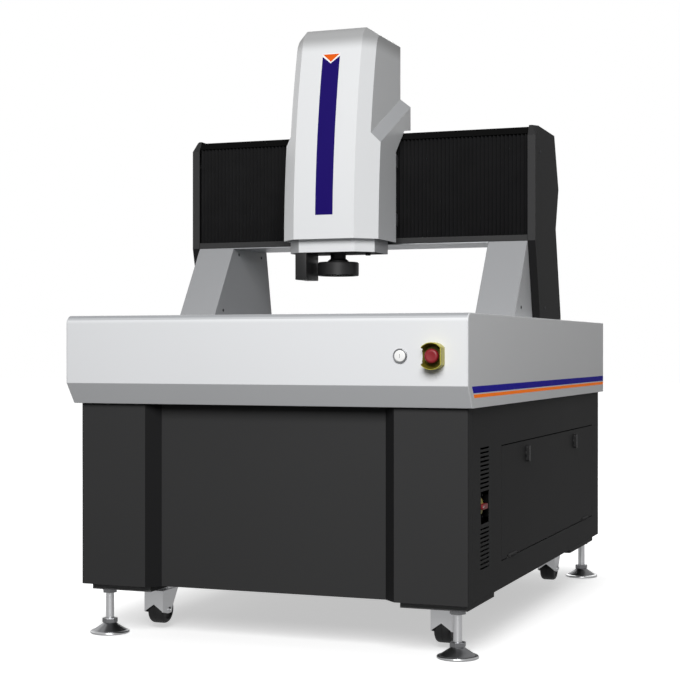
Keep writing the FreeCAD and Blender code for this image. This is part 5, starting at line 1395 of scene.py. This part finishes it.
@dataclass
class Undercarriage(Assembly):
    """Caster wheels with their tread and hubs, axle bolts, plate bolts and the levelling feet."""

    caster_x: tuple[float, float] = (-0.386, 0.427)
    caster_y: tuple[float, float] = (FRONT + 0.251, FRONT + 1.403)
    ahead: float = 0.028
    wheel_z: float = 0.054
    radius: float = 0.0375
    half: float = 0.023
    foot_x: float = 0.4876
    foot_y: tuple[float, float] = (FRONT + 0.123, FRONT + 1.590)
    pad: float = 0.0525
    spindle: float = 0.011
    spindle_span: tuple[float, float] = (0.0398, 0.236)
    pitch: float = 0.0025
    plate_z: float = 0.1177
    plate_bolts: tuple[float, float] = (0.029, 0.036)

    def wheel(self, label: str, x: float, y: float) -> None:
        """A wide wheel with rounded shoulders, a parting groove and a dished side with a hub, on bolts."""
        r, w = self.radius / MM, self.half / MM
        half = [(5.2, w), (8.8, w), (10.4, w - 0.9), (11, w - 3.8), (23.5, w - 4), (25.2, w - 2.8), (25.6, w - 0.3)]
        half += [(28.4, w), (31.2, w - 0.6), (34, w - 2.2), (36, w - 4.8), (37.1, w - 7.6), (r, w - 10.5)]
        half += [(r, 0.8), (r - 0.7, 0.3)]
        profile = mm(*half, *[(radius, -along) for radius, along in reversed(half)])
        y -= self.ahead
        wheel = self.bench.turned(f"caster_tread_{label}", profile, (x, y, self.wheel_z), Axis.X, 56, 38)
        body = f"caster_wheel_{label}"
        self.bench.deliver(wheel, body, "wheel_black", replaces=[body])
        low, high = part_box(f"caster_fork_{label}")
        out = [((end - way * 0.0042, y, self.wheel_z), (way, 0, 0)) for end, way in ((low.x, -1), (high.x, 1))]
        bolt = Fastener(self.bench, 7.2 * MM, 3.4 * MM, 4.0 * MM)
        bolt.fit(f"axle_bolts_{label}", f"caster_fork_{label}", out, "chrome", "chrome")

    def foot(self, label: str, x: float, y: float) -> None:
        """A levelling foot: the pad with its rim and cone, the hexagon collar and the threaded spindle."""
        bench, body, r = self.bench, f"foot_{label}", self.pad / MM
        rim = [(0, 0.2), (r - 1.8, 0.2), (r - 0.4, 1.2), (r, 2.6), (r, 4.6)]
        rim += [(r - 0.6, 6), (r - 2, 7), (r - 8, 8.2), (0, 8.2)]
        pad = bench.turned(f"foot_pad_{label}", mm(*rim), (x, y, 0), Axis.Z, 64, 32.0)
        bench.deliver(pad, body, "chrome", replaces=[body])
        cone = [(0, 8), (r - 7.8, 8), (r - 9, 9.2), (30, 18.2), (23.2, 22.6), (18, 26.8), (16.5, 29), (0, 29)]
        cast = bench.turned(f"foot_cone_{label}", mm(*cone), (x, y, 0), Axis.Z, 64, 25)
        bench.deliver(cast, body, "dark_chrome", "chrome")
        collar = bench.drum(f"foot_collar_{label}", (x, y, 0.0280), 0.0208, 0.0120, Axis.Z, 6)
        bench.rounded(collar, 0.0009, 2)
        bench.deliver(collar, body, "dark_chrome", "chrome")
        low, top = self.spindle_span
        high, profile = top - 0.003, [(0, 0.0390)]
        for index in range(int((high - low) / self.pitch)):
            z = low + index * self.pitch
            profile += [(self.spindle - 0.0003, z)]
            profile += [(self.spindle, z + self.pitch * share) for share in (0.4, 0.6)]
        profile += [(self.spindle - 0.0009, high), (self.spindle - 0.002, top), (0, top)]
        screw = bench.turned(f"foot_spindle_{label}", profile, (x, y, 0), Axis.Z, 28, 50)
        bench.deliver(screw, body, "zinc", "chrome")

    def build(self) -> None:
        """Makes the four casters' pieces, the four feet and the bolts of the caster plates."""
        for label, y in zip("fr", self.caster_y):
            for letter, x in zip("lr", self.caster_x):
                self.wheel(label + letter, x, y)
        for label, y in zip("fr", self.foot_y):
            for side, letter in ((-1, "l"), (1, "r")):
                self.foot(label + letter, side * self.foot_x, y)
        wide, long = self.plate_bolts
        plates = [(x, y) for y in self.caster_y for x in self.caster_x]
        corners = [(dx, dy) for dx in (-wide, wide) for dy in (-long, long)]
        spots = [((x + dx, y + dy, self.plate_z), (0, 0, -1)) for x, y in plates for dx, dy in corners]
        plate = Fastener(self.bench, 6.0 * MM, 4.0 * MM, 4.0 * MM, False)
        plate.fit("caster_plate_bolts", "base", spots, "chrome", "chrome")


# Studio


@dataclass
class Studio:
    """The pale room, its lamps and the camera that stands where the photographer stood."""

    eye: tuple[float, float, float] = (1.5706, -4.36005, 0.7642)
    turn: float = 20.774
    lens: float = 81.755
    rise: float = 0.0134
    aim: tuple[float, float, float] = (0.0, 0.0, 0.9)
    lamps: tuple[tuple[str, tuple[float, float, float], float, float], ...] = (
        ("front_lamp", (1.5, -5.1, 3.2), 2.6, 320.0),
        ("top_lamp", (-1.6, -0.6, 4.4), 3.0, 12.0),
        ("left_lamp", (-5.0, 1.6, 2.4), 3.0, 25.0),
        ("rear_lamp", (-1.0, 5.4, 2.8), 3.0, 60.0),
    )
    ambient: float = 0.09
    mirrored: float = 0.60
    floor_near: float = 0.52
    floor_mirrored: float = 0.4
    footprint: tuple[float, float] = (0.43, 0.72)
    fade: tuple[float, float] = (0.02, 0.45)

    def lamp(self, name: str, place: Sequence[float], size: float, power: float) -> None:
        """A square soft lamp aimed at the machine."""
        Bench.clear()
        bpy.ops.object.light_add(type="AREA", location=place)
        lamp = bpy.context.active_object
        lamp.name = name
        lamp.data.shape = "SQUARE"
        lamp.data.size = size
        lamp.data.energy = power
        lamp.rotation_euler = (Vector(self.aim) - Vector(place)).to_track_quat("-Z", "Y").to_euler()

    def world(self) -> None:
        """White where it is seen, dimmer where it lights."""
        room = bpy.data.worlds.new("pale_room")
        bpy.context.scene.world = room
        room.use_nodes = True
        graph = Graph(room.node_tree)
        camera, clear, shiny = graph.rays("Camera", "Transmission", "Glossy")
        dim = shiny * (self.mirrored - self.ambient) + self.ambient
        level = (camera + clear).least(1.0) * (1.0 - dim) + dim
        sky = graph.node("ShaderNodeBackground", {}, {"Color": (1.0, 1.0, 1.0), "Strength": level})
        graph.close("ShaderNodeOutputWorld", sky)

    def floor(self) -> None:
        """A pale floor that keeps the shadow and fades to white further out."""
        Bench.clear()
        bpy.ops.mesh.primitive_grid_add(x_subdivisions=8, y_subdivisions=8, size=60.0, location=(0, 0, 0))
        ground = Bench.adopt("floor")
        shader = Shader("pale_floor")
        outward = shader.vector("SUBTRACT", shader.vector("ABSOLUTE", shader.place), (*self.footprint, 0.0))
        away = shader.vector("LENGTH", shader.vector("MAXIMUM", outward), out="Value")
        camera, clear, shiny = shader.rays("Camera", "Transmission", "Glossy")
        seen = (camera + clear).least(1.0)
        glow = away.eased(*self.fade) * (1.0 - self.floor_near) + self.floor_near
        pale = shader.mix(seen, (0.10, 0.10, 0.10), (0.80, 0.80, 0.80))
        matt = shader.node("ShaderNodeBsdfDiffuse", {}, {0: pale})
        light = seen * glow + shiny * self.floor_mirrored
        shine = shader.node("ShaderNodeEmission", {}, {0: (1.0, 1.0, 1.0), 1: light})
        shader.close("ShaderNodeOutputMaterial", shader.node("ShaderNodeAddShader", {}, {0: matt, 1: shine}))
        ground.data.materials.append(shader.material)

    def camera(self) -> None:
        """The camera at the photograph's viewing angle."""
        Bench.clear()
        bpy.ops.object.camera_add(location=self.eye, rotation=(math.radians(90), 0, math.radians(self.turn)))
        camera = bpy.context.active_object
        camera.name = "camera"
        camera.data.sensor_width = 36.0
        camera.data.lens = self.lens
        camera.data.shift_y = self.rise
        camera.data.clip_end = 200.0
        bpy.context.scene.camera = camera

    def build(self) -> None:
        """Sets up the camera, the floor, the room and the lamps."""
        self.camera()
        self.floor()
        self.world()
        for row in self.lamps:
            self.lamp(*row)
        bpy.context.scene.view_settings.view_transform = "Standard"


def main() -> None:
    """Builds the studio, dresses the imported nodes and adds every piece."""
    logging.basicConfig(level=logging.INFO, format="%(message)s")
    Bench.clear()
    book = FinishBook()
    bench = Bench(book)
    Studio().build()
    book.dress_nodes()
    covers = [WayCover(bench, side) for side in (-1, 1)]
    rest = [Bridge(bench), Table(bench), Controls(bench), Cabinet(bench), Undercarriage(bench)]
    for assembly in (Skins(bench), Head(bench), Optics(bench), *covers, *rest):
        assembly.build()
    Bench.clear()
    LOG.info("pieces made: %d", bench.count)


if __name__ == "__main__":
    main()
